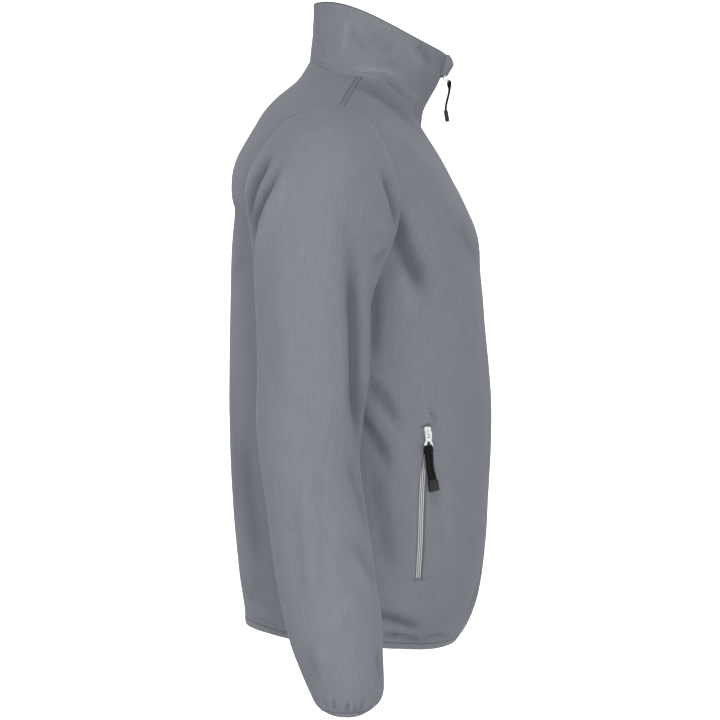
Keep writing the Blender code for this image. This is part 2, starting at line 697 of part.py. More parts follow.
def binding_sections(edge, inside, normals, width, turn_in=0.0):
    """Sections of an elastic binding that continues a cloth edge and covers its raw end."""
    down = edge - inside
    down /= np.linalg.norm(down, axis=1, keepdims=True)
    down -= normals * turn_in
    down /= np.linalg.norm(down, axis=1, keepdims=True)
    turned = normals - down * (normals * down).sum(axis=1, keepdims=True)
    turned /= np.linalg.norm(turned, axis=1, keepdims=True)
    gap = SEAM_GAP / 2
    proud = BINDING_PROUD
    outline = (
        (gap, 0.0),
        (BINDING_ROUND, proud),
        (width - BINDING_ROUND, proud),
        (width, -WALL / 2),
        (width - BINDING_ROUND, -WALL - proud),
        (BINDING_ROUND, -WALL - proud),
        (gap, -WALL),
    )
    return np.stack(
        [edge + down * run + (normals if run == gap else turned) * rise for run, rise in outline],
        axis=1,
    )


def chain_section(points, normals, wall):
    """A zip's section: tape behind the cloth and the chain raised between the cloth's edges.

    points are four places on the cloth's face, from one side of the tape to the other.
    """
    left, chain_left, chain_right, right = points
    face = wall + TAPE_CLEARANCE
    back = face + TAPE_THICKNESS
    return [
        left - normals[0] * face,
        chain_left - normals[1] * face,
        chain_left - normals[1] * CHAIN_DEPTH,
        chain_right - normals[2] * CHAIN_DEPTH,
        chain_right - normals[2] * face,
        right - normals[3] * face,
        right - normals[3] * back,
        chain_right - normals[2] * back,
        chain_left - normals[1] * back,
        left - normals[0] * back,
    ]


def beside_the_front(grid, normals, row, reach):
    """A place on the front's face, reach out from the middle line, and its normal."""
    start, end = grid[row, 0], grid[row, 1]
    part = (reach - abs(start[0])) / (abs(end[0]) - abs(start[0]))
    normal = normals[row, 0] * (1 - part) + normals[row, 1] * part
    return start + (end - start) * part, normal / np.linalg.norm(normal)


def front_zip_sections(grids, normals):
    """Sections up the middle front, from the hem to just under the collar's top."""
    sections = []
    for name in ("front_right", "collar"):
        grid, normal = grids[name], normals[name]
        for row in range(1 if name == "collar" else 0, len(grid)):
            if name == "collar":
                wall = COLLAR_WALL
            elif row == len(grid) - 1:
                wall = WALL * NECK_MITRE
            else:
                wall = WALL + BINDING_PROUD * (row < 2)
            tape, tape_normal = beside_the_front(grid, normal, row, FRONT_TAPE_HALF)
            chain, chain_normal = beside_the_front(grid, normal, row, CHAIN_HALF)
            flip = np.array((-1, 1, 1))
            sections.append(
                chain_section(
                    [tape, chain, chain * flip, tape * flip],
                    [tape_normal, chain_normal, chain_normal * flip, tape_normal * flip],
                    wall,
                )
            )
    hem = np.array(sections[0])
    down = hem - np.array(sections[1])
    down /= np.linalg.norm(down, axis=1, keepdims=True)
    sections.insert(0, hem + down * (BINDING_WIDTH - FRONT_ZIP_RISE))
    top = np.array(sections[-1])
    sections[-1] = top + (np.array(sections[-2]) - top) * FRONT_ZIP_SHORT
    return sections


class PocketLine:
    """The run of a pocket's slit on the face of the right front."""

    def __init__(self, grid):
        points = grid.reshape(-1, 3)
        faces = outward_faces(grid, False)
        self.tree = BVHTree.FromPolygons(points.tolist(), faces.tolist())

    def seen(self, part):
        """(y, z) at a part of the slit from its top down."""
        return through(POCKET_ROWS, [part * (len(POCKET_ROWS) - 1)])[0]

    def at(self, y, z):
        """The place on the cloth's face seen at (y, z) from the wearer's right."""
        hit, normal, _, _ = self.tree.ray_cast(Vector((-OUTSIDE, y, z)), Vector((1, 0, 0)))
        return np.array(hit), np.array(normal)

    def frame(self, part):
        """Place, way up, way across and normal at a part of the slit from its top down."""
        y, z = self.seen(part)
        here, _ = self.at(y, z)
        above, below = self.seen(max(part - POCKET_SPAN, 0)), self.seen(min(part + POCKET_SPAN, 1))
        up = self.at(*above)[0] - self.at(*below)[0]
        across = self.at(y - POCKET_REACH, z)[0] - self.at(y + POCKET_REACH, z)[0]
        up /= np.linalg.norm(up)
        across -= up * (across @ up)
        across /= np.linalg.norm(across)
        normal = np.cross(across, up)
        normal *= -np.sign(normal[0])
        return here, up, across, normal

    def section(self, part):
        """The zip's section at a part of the slit."""
        here, up, across, normal = self.frame(part)
        places = []
        for reach in (-POCKET_TAPE_HALF, -POCKET_CHAIN_HALF, POCKET_CHAIN_HALF, POCKET_TAPE_HALF):
            wanted = here + across * reach
            places.append(self.at(wanted[1], wanted[2])[0])
        return chain_section(places, [normal] * 4, WALL)


def cut_slit(cutters, front, line, sign):
    """Cuts a pocket's slit through a front panel."""
    sections = []
    for part in np.linspace(0, 1, POCKET_STEPS // 2 + 1):
        here, _, across, normal = line.frame(part)
        half = across * POCKET_SLOT / 2
        reach = normal * CUTTER_REACH
        sections.append([here - half - reach, here + half - reach, here + half + reach, here - half + reach])
    sections = np.array(sections) * (-sign, 1, 1)
    cutter = loft(cutters, f"cutter_{front.name}", sections, front.data.materials[0])
    cutter.hide_render = True
    cutter.display_type = "WIRE"
    cut = front.modifiers.new("pocket slit", "BOOLEAN")
    cut.operation = "DIFFERENCE"
    cut.solver = "EXACT"
    cut.object = cutter


# --- sliders and pulls ------------------------------------------------------------------------


def frame_matrix(place, across, normal):
    """A frame whose X runs across the zip, whose -Y is the way out and whose Z runs up the zip."""
    x = Vector(across).normalized()
    y = -Vector(normal).normalized()
    z = x.cross(y)
    turn = Matrix((x, y, z)).transposed().to_4x4()
    return Matrix.Translation(Vector(place) * MM) @ turn


def rounded_box(collection, name, size, centre, bevel, material):
    """A box with bevelled edges, its size already in its mesh."""
    bpy.ops.mesh.primitive_cube_add(size=1)
    box = bpy.context.object
    box.name = name
    box.data.name = name
    box.data.transform(Matrix.Translation(Vector(centre) * MM) @ Matrix.Diagonal((*size, 1000)) * MM)
    for owner in list(box.users_collection):
        owner.objects.unlink(box)
    collection.objects.link(box)
    box.data.materials.append(material)
    edge = box.modifiers.new("edges", "BEVEL")
    edge.width = bevel * MM
    edge.segments = 1
    return box


def slider(collection, cutters, name, frame, height, rise, material):
    """A zip slider: a waisted body on the cloth and the bail that its pull hangs on.

    The frame's origin is the middle of the pull's bar, rise further out than it must be.
    """
    floor = BAIL_INNER + rise
    body = rounded_box(
        collection,
        name,
        (SLIDER_WIDTH, height, SLIDER_LENGTH),
        (0, floor + height / 2, 0),
        SLIDER_EDGE,
        material,
    )
    outline = bpy.data.curves.new(f"{name}_bail", "CURVE")
    outline.dimensions = "2D"
    outline.fill_mode = "BOTH"
    outline.extrude = BAIL_WIDTH / 2 * MM
    angles = np.linspace(0, math.pi, 9)
    arch = [(math.cos(a) * BAIL_OUTER, math.sin(a) * BAIL_OUTER) for a in angles]
    foot = floor + BAIL_SUNK
    arch += [(-BAIL_OUTER, -foot), (-BAIL_INNER, -foot)]
    arch += [(math.cos(a) * BAIL_INNER, math.sin(a) * BAIL_INNER) for a in angles[::-1]]
    arch += [(BAIL_INNER, -foot), (BAIL_OUTER, -foot)]
    spline = outline.splines.new("POLY")
    spline.points.add(len(arch) - 1)
    spline.use_cyclic_u = True
    for point, (along, out) in zip(spline.points, arch):
        point.co = (along * MM, out * MM, 0, 1)
    bail = mesh_from_curve(cutters, f"{name}_bail", outline)
    # The outline's plane is turned so that it stands along the zip: its x to Z, its y to -Y.
    bail.data.transform(Matrix(((0, 0, 1, 0), (0, -1, 0, 0), (1, 0, 0, 0), (0, 0, 0, 1))))
    bail.hide_render = True
    bail.display_type = "WIRE"
    body.matrix_world = frame
    bail.matrix_world = frame
    join = body.modifiers.new("bail", "BOOLEAN")
    join.operation = "UNION"
    join.solver = "EXACT"
    join.object = bail
    return body


def mesh_from_curve(collection, name, curve):
    """A closed mesh object made from a filled curve."""
    source = bpy.data.objects.new(f"{name}_curve", curve)
    bpy.context.scene.collection.objects.link(source)
    graph = bpy.context.evaluated_depsgraph_get()
    mesh = bpy.data.meshes.new_from_object(source.evaluated_get(graph))
    mesh.name = name
    solid = bmesh.new()
    solid.from_mesh(mesh)
    bmesh.ops.remove_doubles(solid, verts=solid.verts, dist=1e-6)
    bmesh.ops.recalc_face_normals(solid, faces=solid.faces)
    solid.to_mesh(mesh)
    solid.free()
    bpy.data.objects.remove(source)
    made = bpy.data.objects.new(name, mesh)
    collection.objects.link(made)
    return made


def pull_tab(collection, name, size, material):
    """A pull's metal tab: a waisted plate with a slot for the bail and a hole for the cord."""
    half_bar = TAB_THICKNESS / 2
    foot = -size.tab_length
    curve = bpy.data.curves.new(name, "CURVE")
    curve.dimensions = "2D"
    curve.fill_mode = "BOTH"
    curve.extrude = TAB_THICKNESS / 2 * MM
    top_half, waist_half, foot_half = size.tab_top / 2, size.tab_waist / 2, size.tab_foot / 2
    right_side = (
        (top_half - TAB_CORNER, half_bar),
        (top_half, half_bar - TAB_CORNER),
        (top_half, foot * TAB_SHOULDER),
        (waist_half, foot * TAB_WAIST),
        (foot_half, foot + TAB_FOOT_CORNER),
        (foot_half - TAB_FOOT_CORNER, foot),
    )
    outline = right_side + tuple((-x, z) for x, z in right_side[::-1])
    slot_foot = -half_bar - TAB_SLOT_DEPTH
    slot = (
        (-TAB_SLOT / 2, -half_bar),
        (TAB_SLOT / 2, -half_bar),
        (TAB_SLOT / 2, slot_foot),
        (-TAB_SLOT / 2, slot_foot),
    )
    hole_radius = size.tab_foot * TAB_HOLE_PART
    centre = foot + hole_radius + TAB_RIM
    turns = np.linspace(0, 2 * math.pi, 11)[:-1]
    hole = [(hole_radius * math.cos(a), centre + hole_radius * math.sin(a)) for a in turns]
    for ring in (outline, slot, hole):
        spline = curve.splines.new("POLY")
        spline.points.add(len(ring) - 1)
        spline.use_cyclic_u = True
        for point, (x, z) in zip(spline.points, ring):
            point.co = (x * MM, z * MM, 0, 1)
    tab = mesh_from_curve(collection, name, curve)
    tab.data.transform(Matrix.Rotation(math.pi / 2, 4, "X"))
    tab.data.materials.append(material)
    return tab


def pull_cord(collection, name, size, sign, material):
    """A pull's doubled cord, one flat length below the tab, and the point where it ends."""
    rows = [(row.side * sign, -row.out, -size.tab_length - CORD_GAP - row.down) for row in size.route]
    route = through(rows, np.linspace(0, len(rows) - 1, CORD_POINTS))
    curve = bpy.data.curves.new(name, "CURVE")
    curve.dimensions = "3D"
    curve.bevel_depth = size.cord_radius * MM
    curve.bevel_resolution = 2
    curve.use_fill_caps = True
    spline = curve.splines.new("POLY")
    spline.points.add(len(route) - 1)
    for point, (x, y, z) in zip(spline.points, route):
        point.co = (x / size.cord_flatten * MM, y * MM, z * MM, 1)
    cord = bpy.data.objects.new(name, curve)
    cord.data.materials.append(material)
    collection.objects.link(cord)
    cord.scale = (size.cord_flatten, 1, 1)
    return cord, route[-1]


def build_pull(collection, name, frame, size, sign, finishes):
    """A pull that swings on its slider: metal tab, doubled cord and moulded end."""
    hinge = bpy.data.objects.new(f"{name}_hinge", None)
    collection.objects.link(hinge)
    hinge.matrix_world = frame
    tab = pull_tab(collection, f"{name}_tab", size, finishes["silver"])
    cord, foot = pull_cord(collection, f"{name}_cord", size, sign, finishes["black"])
    lean_side, lean_out = math.radians(size.lean_side) * sign, math.radians(size.lean_out)
    reach = size.cord_radius * (
        size.cord_flatten * abs(math.sin(lean_side)) + abs(math.sin(lean_out))
    )
    block = rounded_box(
        collection,
        f"{name}_end",
        (size.block_width, size.block_thickness, size.block_height),
        (0, 0, -size.block_height / 2 - CORD_GAP - reach),
        BLOCK_EDGE,
        finishes["graphite"],
    )
    turn = Matrix.Rotation(-lean_side, 4, "Y") @ Matrix.Rotation(-lean_out, 4, "X")
    block.data.transform(Matrix.Translation(Vector(foot) * MM) @ turn)
    for part in (tab, cord, block):
        part.parent = hinge
    return hinge


# --- the jacket -------------------------------------------------------------------------------


def outer_grids():
    """The outer points of every cloth piece, as name: (grid, closed)."""
    slot = FRONT_SLOT / 2
    front = panel_grid(-1, FRONT_ARM_ROWS, FRONT_ARM_STEPS, FRONT_COLUMNS, slot)
    half_back = panel_grid(1, BACK_ARM_ROWS, BACK_ARM_STEPS, BACK_COLUMNS, 0.0)
    half_back[:, 0, 0] = 0.0
    back = np.concatenate([mirrored(half_back)[:, :0:-1], half_back], axis=1)
    first, last = BODY_STEPS, BODY_STEPS + FRONT_ARM_STEPS
    armhole_front = front[first : last + 1, -1][::-1]
    armhole_back = half_back[BODY_STEPS : BODY_STEPS + BACK_ARM_STEPS + 1, -1]
    armhole = np.vstack([armhole_front[:-1], armhole_back[:-1]])
    sleeve = sleeve_grid(armhole)
    neckline = np.vstack([mirrored(front[-1]), back[-1][1:-1], front[-1][::-1]])
    return {
        "front_right": (mirrored(front), False),
        "front_left": (front, False),
        "back": (back, False),
        "sleeve_right": (mirrored(sleeve), True),
        "sleeve_left": (sleeve, True),
        "collar": (collar_grid(neckline), False),
    }


def chin_guard_grid(collar):
    """An arch over the zip's top that stands on the collar's face."""
    rows = []
    for row in GUARD_ROWS:
        heights = collar[:, 0, 2]
        reach = np.interp(row.foot_z, heights, np.arange(len(heights)))
        low = int(reach)
        high = min(low + 1, len(heights) - 1)
        inner = GUARD_HALF - GUARD_WALL
        feet = []
        for level in (low, high):
            start, end = collar[level, 0], collar[level, 1]
            part = (inner - abs(start[0])) / (abs(end[0]) - abs(start[0]))
            feet.append((start + (end - start) * part)[1])
        foot_y = feet[0] + (feet[1] - feet[0]) * (reach - low) - GUARD_CLEARANCE
        turn = np.linspace(0, math.pi, GUARD_COLUMNS + 1)
        rise = np.sin(turn)
        rows.append(
            np.stack(
                [
                    -GUARD_HALF * np.cos(turn),
                    foot_y + (row.peak_y - foot_y) * rise,
                    row.foot_z + (row.peak_z - row.foot_z) * rise,
                ],
                axis=1,
            )
        )
    return np.array(rows)


def build_jacket():
    """Builds every piece of the jacket."""
    jacket = bpy.data.collections.new("fleece_jacket")
    cutters = bpy.data.collections.new("cutters")
    for collection in (jacket, cutters):
        bpy.context.scene.collection.children.link(collection)
    finishes = {
        "fleece": plain_material("fleece", FLEECE, 0.95),
        "binding": plain_material("binding", BINDING, 0.9),
        "silver": plain_material("silver", SILVER, 0.35, 0.9),
        "tape": plain_material("tape", SILVER, 0.6),
        "black": plain_material("black", BLACK, 0.8),
        "graphite": plain_material("graphite", GRAPHITE, 0.5),
    }

    pieces = outer_grids()
    flat_normals = vertex_normals(pieces)
    pieces = {
        name: (folded(name, grid, flat_normals[name], closed), closed)
        for name, (grid, closed) in pieces.items()
    }
    normals = vertex_normals(pieces)
    grids = {name: grid for name, (grid, _) in pieces.items()}
    walls = {}
    for name, (grid, closed) in pieces.items():
        thickness = [WALL] + [COLLAR_WALL] * (len(grid) - 1) if name == "collar" else WALL
        walls[name] = cloth_wall(
            jacket, name, grid, normals[name], thickness, closed, finishes["fleece"]
        )
    guard = chin_guard_grid(grids["collar"])
    cloth_wall(
        jacket, "chin_guard", guard, own_normals(guard, False), GUARD_WALL, False, finishes["fleece"]
    )

    hem = [grids["front_right"][:2], grids["back"][:2, 1:-1], grids["front_left"][:2, ::-1]]
    hem_normals = [
        normals["front_right"][0],
        normals["back"][0, 1:-1],
        normals["front_left"][0, ::-1],
    ]
    edge = np.concatenate([part[0] for part in hem])
    inside = np.concatenate([part[1] for part in hem])
    sections = binding_sections(edge, inside, np.concatenate(hem_normals), BINDING_WIDTH)
    loft(jacket, "hem_binding", sections, finishes["binding"])
    for side in ("right", "left"):
        sleeve = grids[f"sleeve_{side}"]
        sections = binding_sections(
            sleeve[-1],
            sleeve[-2],
            normals[f"sleeve_{side}"][-1],
            CUFF_BINDING_WIDTH,
            CUFF_TURN_IN,
        )
        loft(jacket, f"cuff_binding_{side}", sections, finishes["binding"], closed=True)

    loft(jacket, "front_zip", front_zip_sections(grids, normals), finishes["tape"])

    line = PocketLine(grids["front_right"])
    sections = np.array(
        [line.section(part) for part in np.linspace(POCKET_END, 1 - POCKET_END, POCKET_STEPS + 1)]
    )
    for side, sign in (("right", -1), ("left", 1)):
        placed = sections if sign < 0 else mirrored(sections)
        loft(jacket, f"pocket_zip_{side}", placed, finishes["tape"])
        cut_slit(cutters, walls[f"front_{side}"], line, sign)
        here, _, _, normal = line.frame(POCKET_SLIDER_PART)
        flip = np.array((-sign, 1, 1))
        height = POCKET_SLIDER_HEIGHT
        bar = (here + normal * (SLIDER_LIFT + height + BAIL_INNER)) * flip
        normal = normal * flip
        level = np.array((-normal[1], normal[0], 0.0))
        on_cloth = frame_matrix(bar, level, normal)
        slider(jacket, cutters, f"pocket_slider_{side}", on_cloth, height, 0.0, finishes["silver"])
        hanging = frame_matrix(bar, level, (normal[0], normal[1], 0.0))
        build_pull(jacket, f"pocket_pull_{side}", hanging, POCKET_PULL, -sign, finishes)

    normal = np.array(NECK_SLIDER_NORMAL)
    height, rise = NECK_SLIDER_HEIGHT, NECK_BAIL_RISE
    bar = np.array(NECK_SLIDER_PLACE) + normal * (SLIDER_LIFT + height + BAIL_INNER + rise)
    on_collar = frame_matrix(bar, (1, 0, 0), normal)
    slider(jacket, cutters, "neck_slider", on_collar, height, rise, finishes["silver"])
    hanging = frame_matrix(bar, (1, 0, 0), (0, -1, 0))
    build_pull(jacket, "neck_pull", hanging, NECK_PULL, 1, finishes)


if __name__ == "__main__":
    empty_scene()
    build_jacket()
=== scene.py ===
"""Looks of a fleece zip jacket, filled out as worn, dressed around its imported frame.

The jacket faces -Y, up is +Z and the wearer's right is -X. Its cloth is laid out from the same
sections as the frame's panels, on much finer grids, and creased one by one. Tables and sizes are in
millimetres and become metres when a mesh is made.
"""

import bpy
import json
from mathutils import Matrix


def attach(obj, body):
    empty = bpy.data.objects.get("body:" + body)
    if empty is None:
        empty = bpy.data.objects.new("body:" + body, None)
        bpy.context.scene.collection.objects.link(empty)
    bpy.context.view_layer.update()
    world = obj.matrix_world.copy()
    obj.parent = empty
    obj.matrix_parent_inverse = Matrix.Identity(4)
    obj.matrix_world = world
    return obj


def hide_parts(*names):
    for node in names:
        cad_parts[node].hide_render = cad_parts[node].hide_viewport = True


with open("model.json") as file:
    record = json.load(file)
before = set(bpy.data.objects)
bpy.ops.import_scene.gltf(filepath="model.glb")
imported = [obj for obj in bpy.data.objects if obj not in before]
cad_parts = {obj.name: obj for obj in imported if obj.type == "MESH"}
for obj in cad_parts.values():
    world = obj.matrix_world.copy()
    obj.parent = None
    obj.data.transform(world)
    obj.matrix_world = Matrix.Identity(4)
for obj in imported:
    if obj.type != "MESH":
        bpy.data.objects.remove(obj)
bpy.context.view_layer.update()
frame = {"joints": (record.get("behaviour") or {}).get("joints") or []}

import json
import logging
import math
from dataclasses import dataclass, field
from enum import Enum
from typing import Callable, Iterable, NamedTuple, Sequence

import bmesh
import bpy
import numpy as np
from mathutils import Matrix, Vector, noise

LOG = logging.getLogger("jacket")
MM = 0.001

Array = np.ndarray
Colour = tuple[float, float, float]
Material = bpy.types.Material
Node = bpy.types.Node
Piece = bpy.types.Object
Socket = bpy.types.NodeSocket
WHITE: Colour = (1.0, 1.0, 1.0)


class Side(Enum):
    """The wearer's side, as the sign of X."""

    RIGHT = -1
    LEFT = 1

    @property
    def label(self) -> str:
        """The side's name in nodes and pieces."""
        return self.name.lower()


class Chart(Enum):
    """The direction that a crease is drawn from."""

    SIDE = "side"
    BACK = "back"
    FRONT = "front"


class Border(Enum):
    """The four borders of a panel's grid."""

    FIRST_ROW = "first row"
    LAST_ROW = "last row"
    FIRST_COLUMN = "first column"
    LAST_COLUMN = "last column"


# --- the frame's sections ---------------------------------------------------------------------


class BodyRow(NamedTuple):
    """One level ring of the torso, from the hem up to the underarm."""

    front_y: float
    front_z: float
    side_x: float
    side_y: float
    side_z: float
    back_y: float
    back_z: float
    front_square: float
    back_square: float


class ArmRow(NamedTuple):
    """One ring between the underarm and the shoulder point."""

    edge_x: float
    edge_y: float
    edge_z: float
    middle_y: float
    middle_z: float
    square: float


class ShoulderRow(NamedTuple):
    """One ring between the shoulder point and the neck."""

    seam_x: float
    seam_y: float
    seam_z: float
    front_y: float
    front_z: float
    front_square: float
    back_y: float
    back_z: float
    back_square: float


class CollarRow(NamedTuple):
    """One ring of the stand collar."""

    front_y: float
    front_z: float
    side_x: float
    side_y: float
    side_z: float
    back_y: float
    back_z: float
    sag: float


class SleeveRow(NamedTuple):
    """One ring of a sleeve."""

    outer_x: float
    outer_y: float
    outer_z: float
    inner_x: float
    inner_y: float
    inner_z: float
    front_x: float
    front_y: float
    back_x: float
    back_y: float


class GuardRow(NamedTuple):
    """Where the chin guard's feet stand and how far its middle bulges."""

    foot_z: float
    peak_z: float
    peak_y: float


def table(kind: Callable, *rows: Sequence) -> tuple:
    """The rows of a table, each with its columns named."""
    return tuple(kind(*row) for row in rows)


BODY_ROWS = table(
    BodyRow,
    (-119.5, -663.5, 171, 9, -655.5, 137, -641.8, 2.3, 2.5),
    (-124.5, -656.5, 174.5, 9.5, -649, 137, -636, 2.3, 2.5),
    (-129, -649, 178, 10, -641, 138, -627.5, 2.3, 2.5),
    (-135, -635.5, 181.5, 10.5, -628, 140, -615, 2.3, 2.5),
    (-141, -616.5, 185, 11, -609, 142.8, -597, 2.3, 2.5),
    (-146.5, -585.5, 188.5, 12, -581, 146, -572, 2.3, 2.5),
    (-150.5, -547, 191, 13, -545, 149.5, -540, 2.3, 2.5),
    (-153.5, -498, 192, 14, -498, 153, -492, 2.3, 2.5),
    (-156.5, -446, 192, 15, -446, 155, -440, 2.3, 2.5),
    (-157, -394, 193, 16, -394, 156, -388, 2.3, 2.5),
    (-154, -345, 194, 17.5, -345, 155.5, -338, 2.3, 2.5),
    (-149.5, -296, 195.5, 19, -294, 154.5, -285, 2.3, 2.6),
    (-147, -262, 196, 20, -255, 153.5, -243, 2.2, 2.6),
)
FRONT_ARM_ROWS = table(
    ArmRow,
    (191, -14, -230, -144.6, -243, 2.2),
    (186, -35, -198, -143.5, -222, 2.1),
    (184, -41.5, -180, -143, -208, 2.05),
    (183, -45, -160, -141, -193, 2),
    (184, -43, -137, -136, -176, 1.9),
    (187, -35, -112, -127.5, -157, 1.8),
    (191, -24, -89, -118.5, -138, 1.7),
    (198, -6, -67, -109.5, -121, 1.6),
    (205, 20, -57, -103, -107, 1.5),
)
BACK_ARM_ROWS = table(
    ArmRow,
    (189, 66, -242, 153, -222, 2.6),
    (181, 104, -212, 152.5, -192, 2.8),
    (174.5, 124, -184, 152, -164, 3),
    (172, 129.2, -165.5, 151.5, -145, 3.2),
    (172, 130.3, -149.5, 151.5, -129, 3.3),
    (174, 128, -134, 150, -114.5, 3.2),
    (178, 121, -116.5, 145.5, -99.5, 3),
    (182, 111, -101, 138.5, -85.5, 2.7),
    (187, 99.5, -87, 131, -72, 2.5),
    (192, 86, -74, 124.5, -60.5, 2.3),
    (198, 69, -65, 118, -48, 2.1),
    (203, 46, -59, 110.5, -37.5, 2),
    (205, 20, -57, 103, -29, 2),
)
SHOULDER_ROWS = table(
    ShoulderRow,
    (162, 14.5, -41, -93.5, -91, 1.6, 90.5, -18, 2),
    (118, 8, -24.5, -83, -75, 1.8, 75, -4, 2),
    (75, 1, -8, -73, -60, 2, 60.5, 18.5, 2),
)
COLLAR_ROWS = table(
    CollarRow,
    (-76, -40, 71, -3, 8, 59, 33, 0),
    (-84.5, -23, 67, -9, 24, 57, 50, 2),
    (-92.5, -9, 64, -15, 38, 56.3, 64, 4.5),
    (-99, 6.2, 61.5, -20, 51.3, 55.5, 77, 7.3),
    (-104.5, 27.5, 60, -25, 62.5, 56, 88, 10),
)
SLEEVE_ROWS = table(
    SleeveRow,
    (232, 24, -62.5, 203, 22, -262, 203, -45.5, 198, 129.5),
    (257, 29, -77, 206, 27, -268, 216, -43.5, 215, 127),
    (279, 35, -101, 207, 33, -276, 228, -37, 229, 123),
    (296, 41, -136, 206.5, 39, -287, 239, -29.5, 241, 119),
    (307.5, 45, -181, 206, 45, -300, 247, -19.5, 249, 116.5),
    (314, 49, -232, 205, 50, -317, 254, -12, 255, 114.5),
    (317, 51, -287, 204, 51, -338, 258, -11.5, 258, 112.5),
    (317, 50.5, -343, 203, 50.5, -366, 259, -10.5, 259, 111.5),
    (315.5, 54, -399, 203, 54, -406, 259, -4, 259, 113),
    (314.5, 54, -450, 205, 54, -450, 260, -0.5, 260, 108.5),
    (314, 47.5, -500, 210, 47.5, -500, 262, -6.5, 262, 101.5),
    (315, 41.5, -545, 215, 41.5, -545, 265, -12.8, 265, 95.8),
    (316.5, 35.5, -585, 221, 35.5, -585, 268.5, -18, 268.5, 88.8),
    (318, 29, -620, 227, 29, -620, 272.5, -23.8, 272.5, 81.5),
    (318, 24.5, -650, 232, 24.5, -650, 275, -24.8, 275, 73.5),
    (317, 19.5, -672, 236, 19.5, -672, 276.5, -25.6, 276.5, 65),
    (315.5, 16.5, -688, 238.5, 16.5, -688, 277, -26, 277, 58.4),
    (313, 15.5, -698.5, 241, 15.5, -698.5, 277, -25, 277, 53.8),
    (310.8, 14.5, -706, 243.2, 14.5, -706, 277, -22.3, 277, 51),
    (308.8, 14.2, -711, 245.2, 14.2, -711, 277, -18.8, 277, 48),
    (307, 14.2, -714.6, 247, 14.2, -714.6, 277, -15.2, 277, 44.5),
)
GUARD_ROWS = table(
    GuardRow,
    (1, 2.2, -104.8),
    (6.5, 8.6, -108.7),
    (13, 15.6, -112.6),
    (20, 22.5, -110.6),
    (26.3, 27.8, -107.2),
)
# (y, z) of a pocket's slit on the front, from its top down
POCKET_LINE = (
    (-77, -411.5),
    (-75, -432),
    (-72.7, -452),
    (-70.8, -474),
    (-69.4, -506),
    (-68.5, -540),
    (-67.4, -562),
    (-66.2, -585),
)


# --- creases ----------------------------------------------------------------------------------

# The side chart is a square of 720 units, seen level from CHART_DISTANCE to the side. A unit is
# CHART_UNIT mm in the jacket's middle plane; the first number runs forwards, the second down.
CHART_UNIT = 1.2
CHART_MIDDLE = 360.0
CHART_LEVEL = -338.4
CHART_DISTANCE = 2700.0


class Crease(NamedTuple):
    """A soft trough (depth above 0) or ridge (below 0) along a line on one chart.

    near and far are its half-widths in the chart's units, which are mm on the back and front
    charts. near is forwards of a line that runs down the side, and below one that runs towards
    the left on the back and front. depth is in mm.
    """

    line: tuple[tuple[float, float], ...]
    near: float
    far: float
    # depth also sets the shade painted into a trough and the light painted onto a ridge
    depth: float
    chart: Chart = Chart.SIDE


SLEEVE_CREASES = table(
    Crease,
    (
        ((355, 256), (357, 300), (358.5, 330), (359, 360), (359, 390), (360, 412), (363, 434), (367, 456)),
        5, 8, 7.4,
    ),
    (((355, 318), (356.5, 350), (357, 380), (358, 405), (362, 430)), 3.6, 5, 2.8),
    (((346, 205), (350, 250), (353, 300), (355, 345)), 6, 9, 1.8),
    (((363, 258), (364, 300), (365, 345), (364.5, 385), (364, 418)), 2.8, 2.8, -1.3),
    (((274, 149), (263, 166), (254.5, 183), (249.5, 200), (247.2, 218), (247, 242)), 3.6, 3.6, 6.8),
    (
        ((283, 162), (272, 180), (260.5, 201), (253.5, 220), (250, 243), (249.5, 268), (251, 290)),
        3.6, 3.6, 6.4,
    ),
    (((276, 143), (262, 160), (251, 177), (244, 200)), 3.4, 3, -1.4),
    (((272, 172), (262.5, 187), (254, 206), (251, 222)), 2.6, 2.6, -1.6),
    (((292, 165), (274, 200), (261, 236), (257, 270)), 8, 6, -1.6),
    (((381, 170), (388, 186), (393, 200), (396.5, 218), (398, 232)), 3.2, 3.2, 5),
    (((332.8, 701), (333.4, 707), (333.8, 713)), 1.8, 1.8, 2.6),
    (((347.2, 702), (347.6, 709), (348, 716)), 2, 2, 2.8),
    (((351.4, 702), (351.6, 709), (351.8, 716)), 1.3, 1.3, -1),
    (((365, 699), (363, 706), (360, 713)), 2.4, 2.2, 2.2),
    (((321, 698), (324, 704), (327, 710)), 1.8, 1.8, 1.2),
    (((355.4, 704), (355, 710), (354.6, 716)), 1.4, 1.4, 1.6),
    (((371, 262), (379, 256), (389, 246)), 2.4, 2.6, 2),
    (((368, 254), (377, 249), (386, 240)), 3, 3, -1.3),
    (((372, 226), (381, 226), (390, 229)), 5, 5, -1),
    (((306, 102), (320, 101), (336, 101.5)), 3, 3, 1.2),
    (((345, 450), (355, 482), (363, 508), (370, 532)), 4.5, 4, 2.5),
    (((352, 540), (362, 557), (371, 573), (380, 590)), 4.5, 5, 1.9),
    (((354, 558), (364, 578), (374, 600)), 5, 5, -1.2),
    (((296, 490), (298.5, 545), (303, 610)), 6, 6, 1.2),
    (((317, 450), (319, 540), (322, 606)), 4, 4, 0.8),
    (((303, 470), (306, 540), (311, 610)), 4, 4, -0.4),
    (((326, 628), (340, 612), (356, 594)), 5, 5, -0.9),
    (((303, 640), (309, 662), (320, 690)), 6, 6, 1.8),
    (((376, 650), (379, 664), (380.5, 684)), 3, 2.6, 2.2),
    (((270, 300), (274, 345), (279, 400)), 7, 7, 0.8),
)
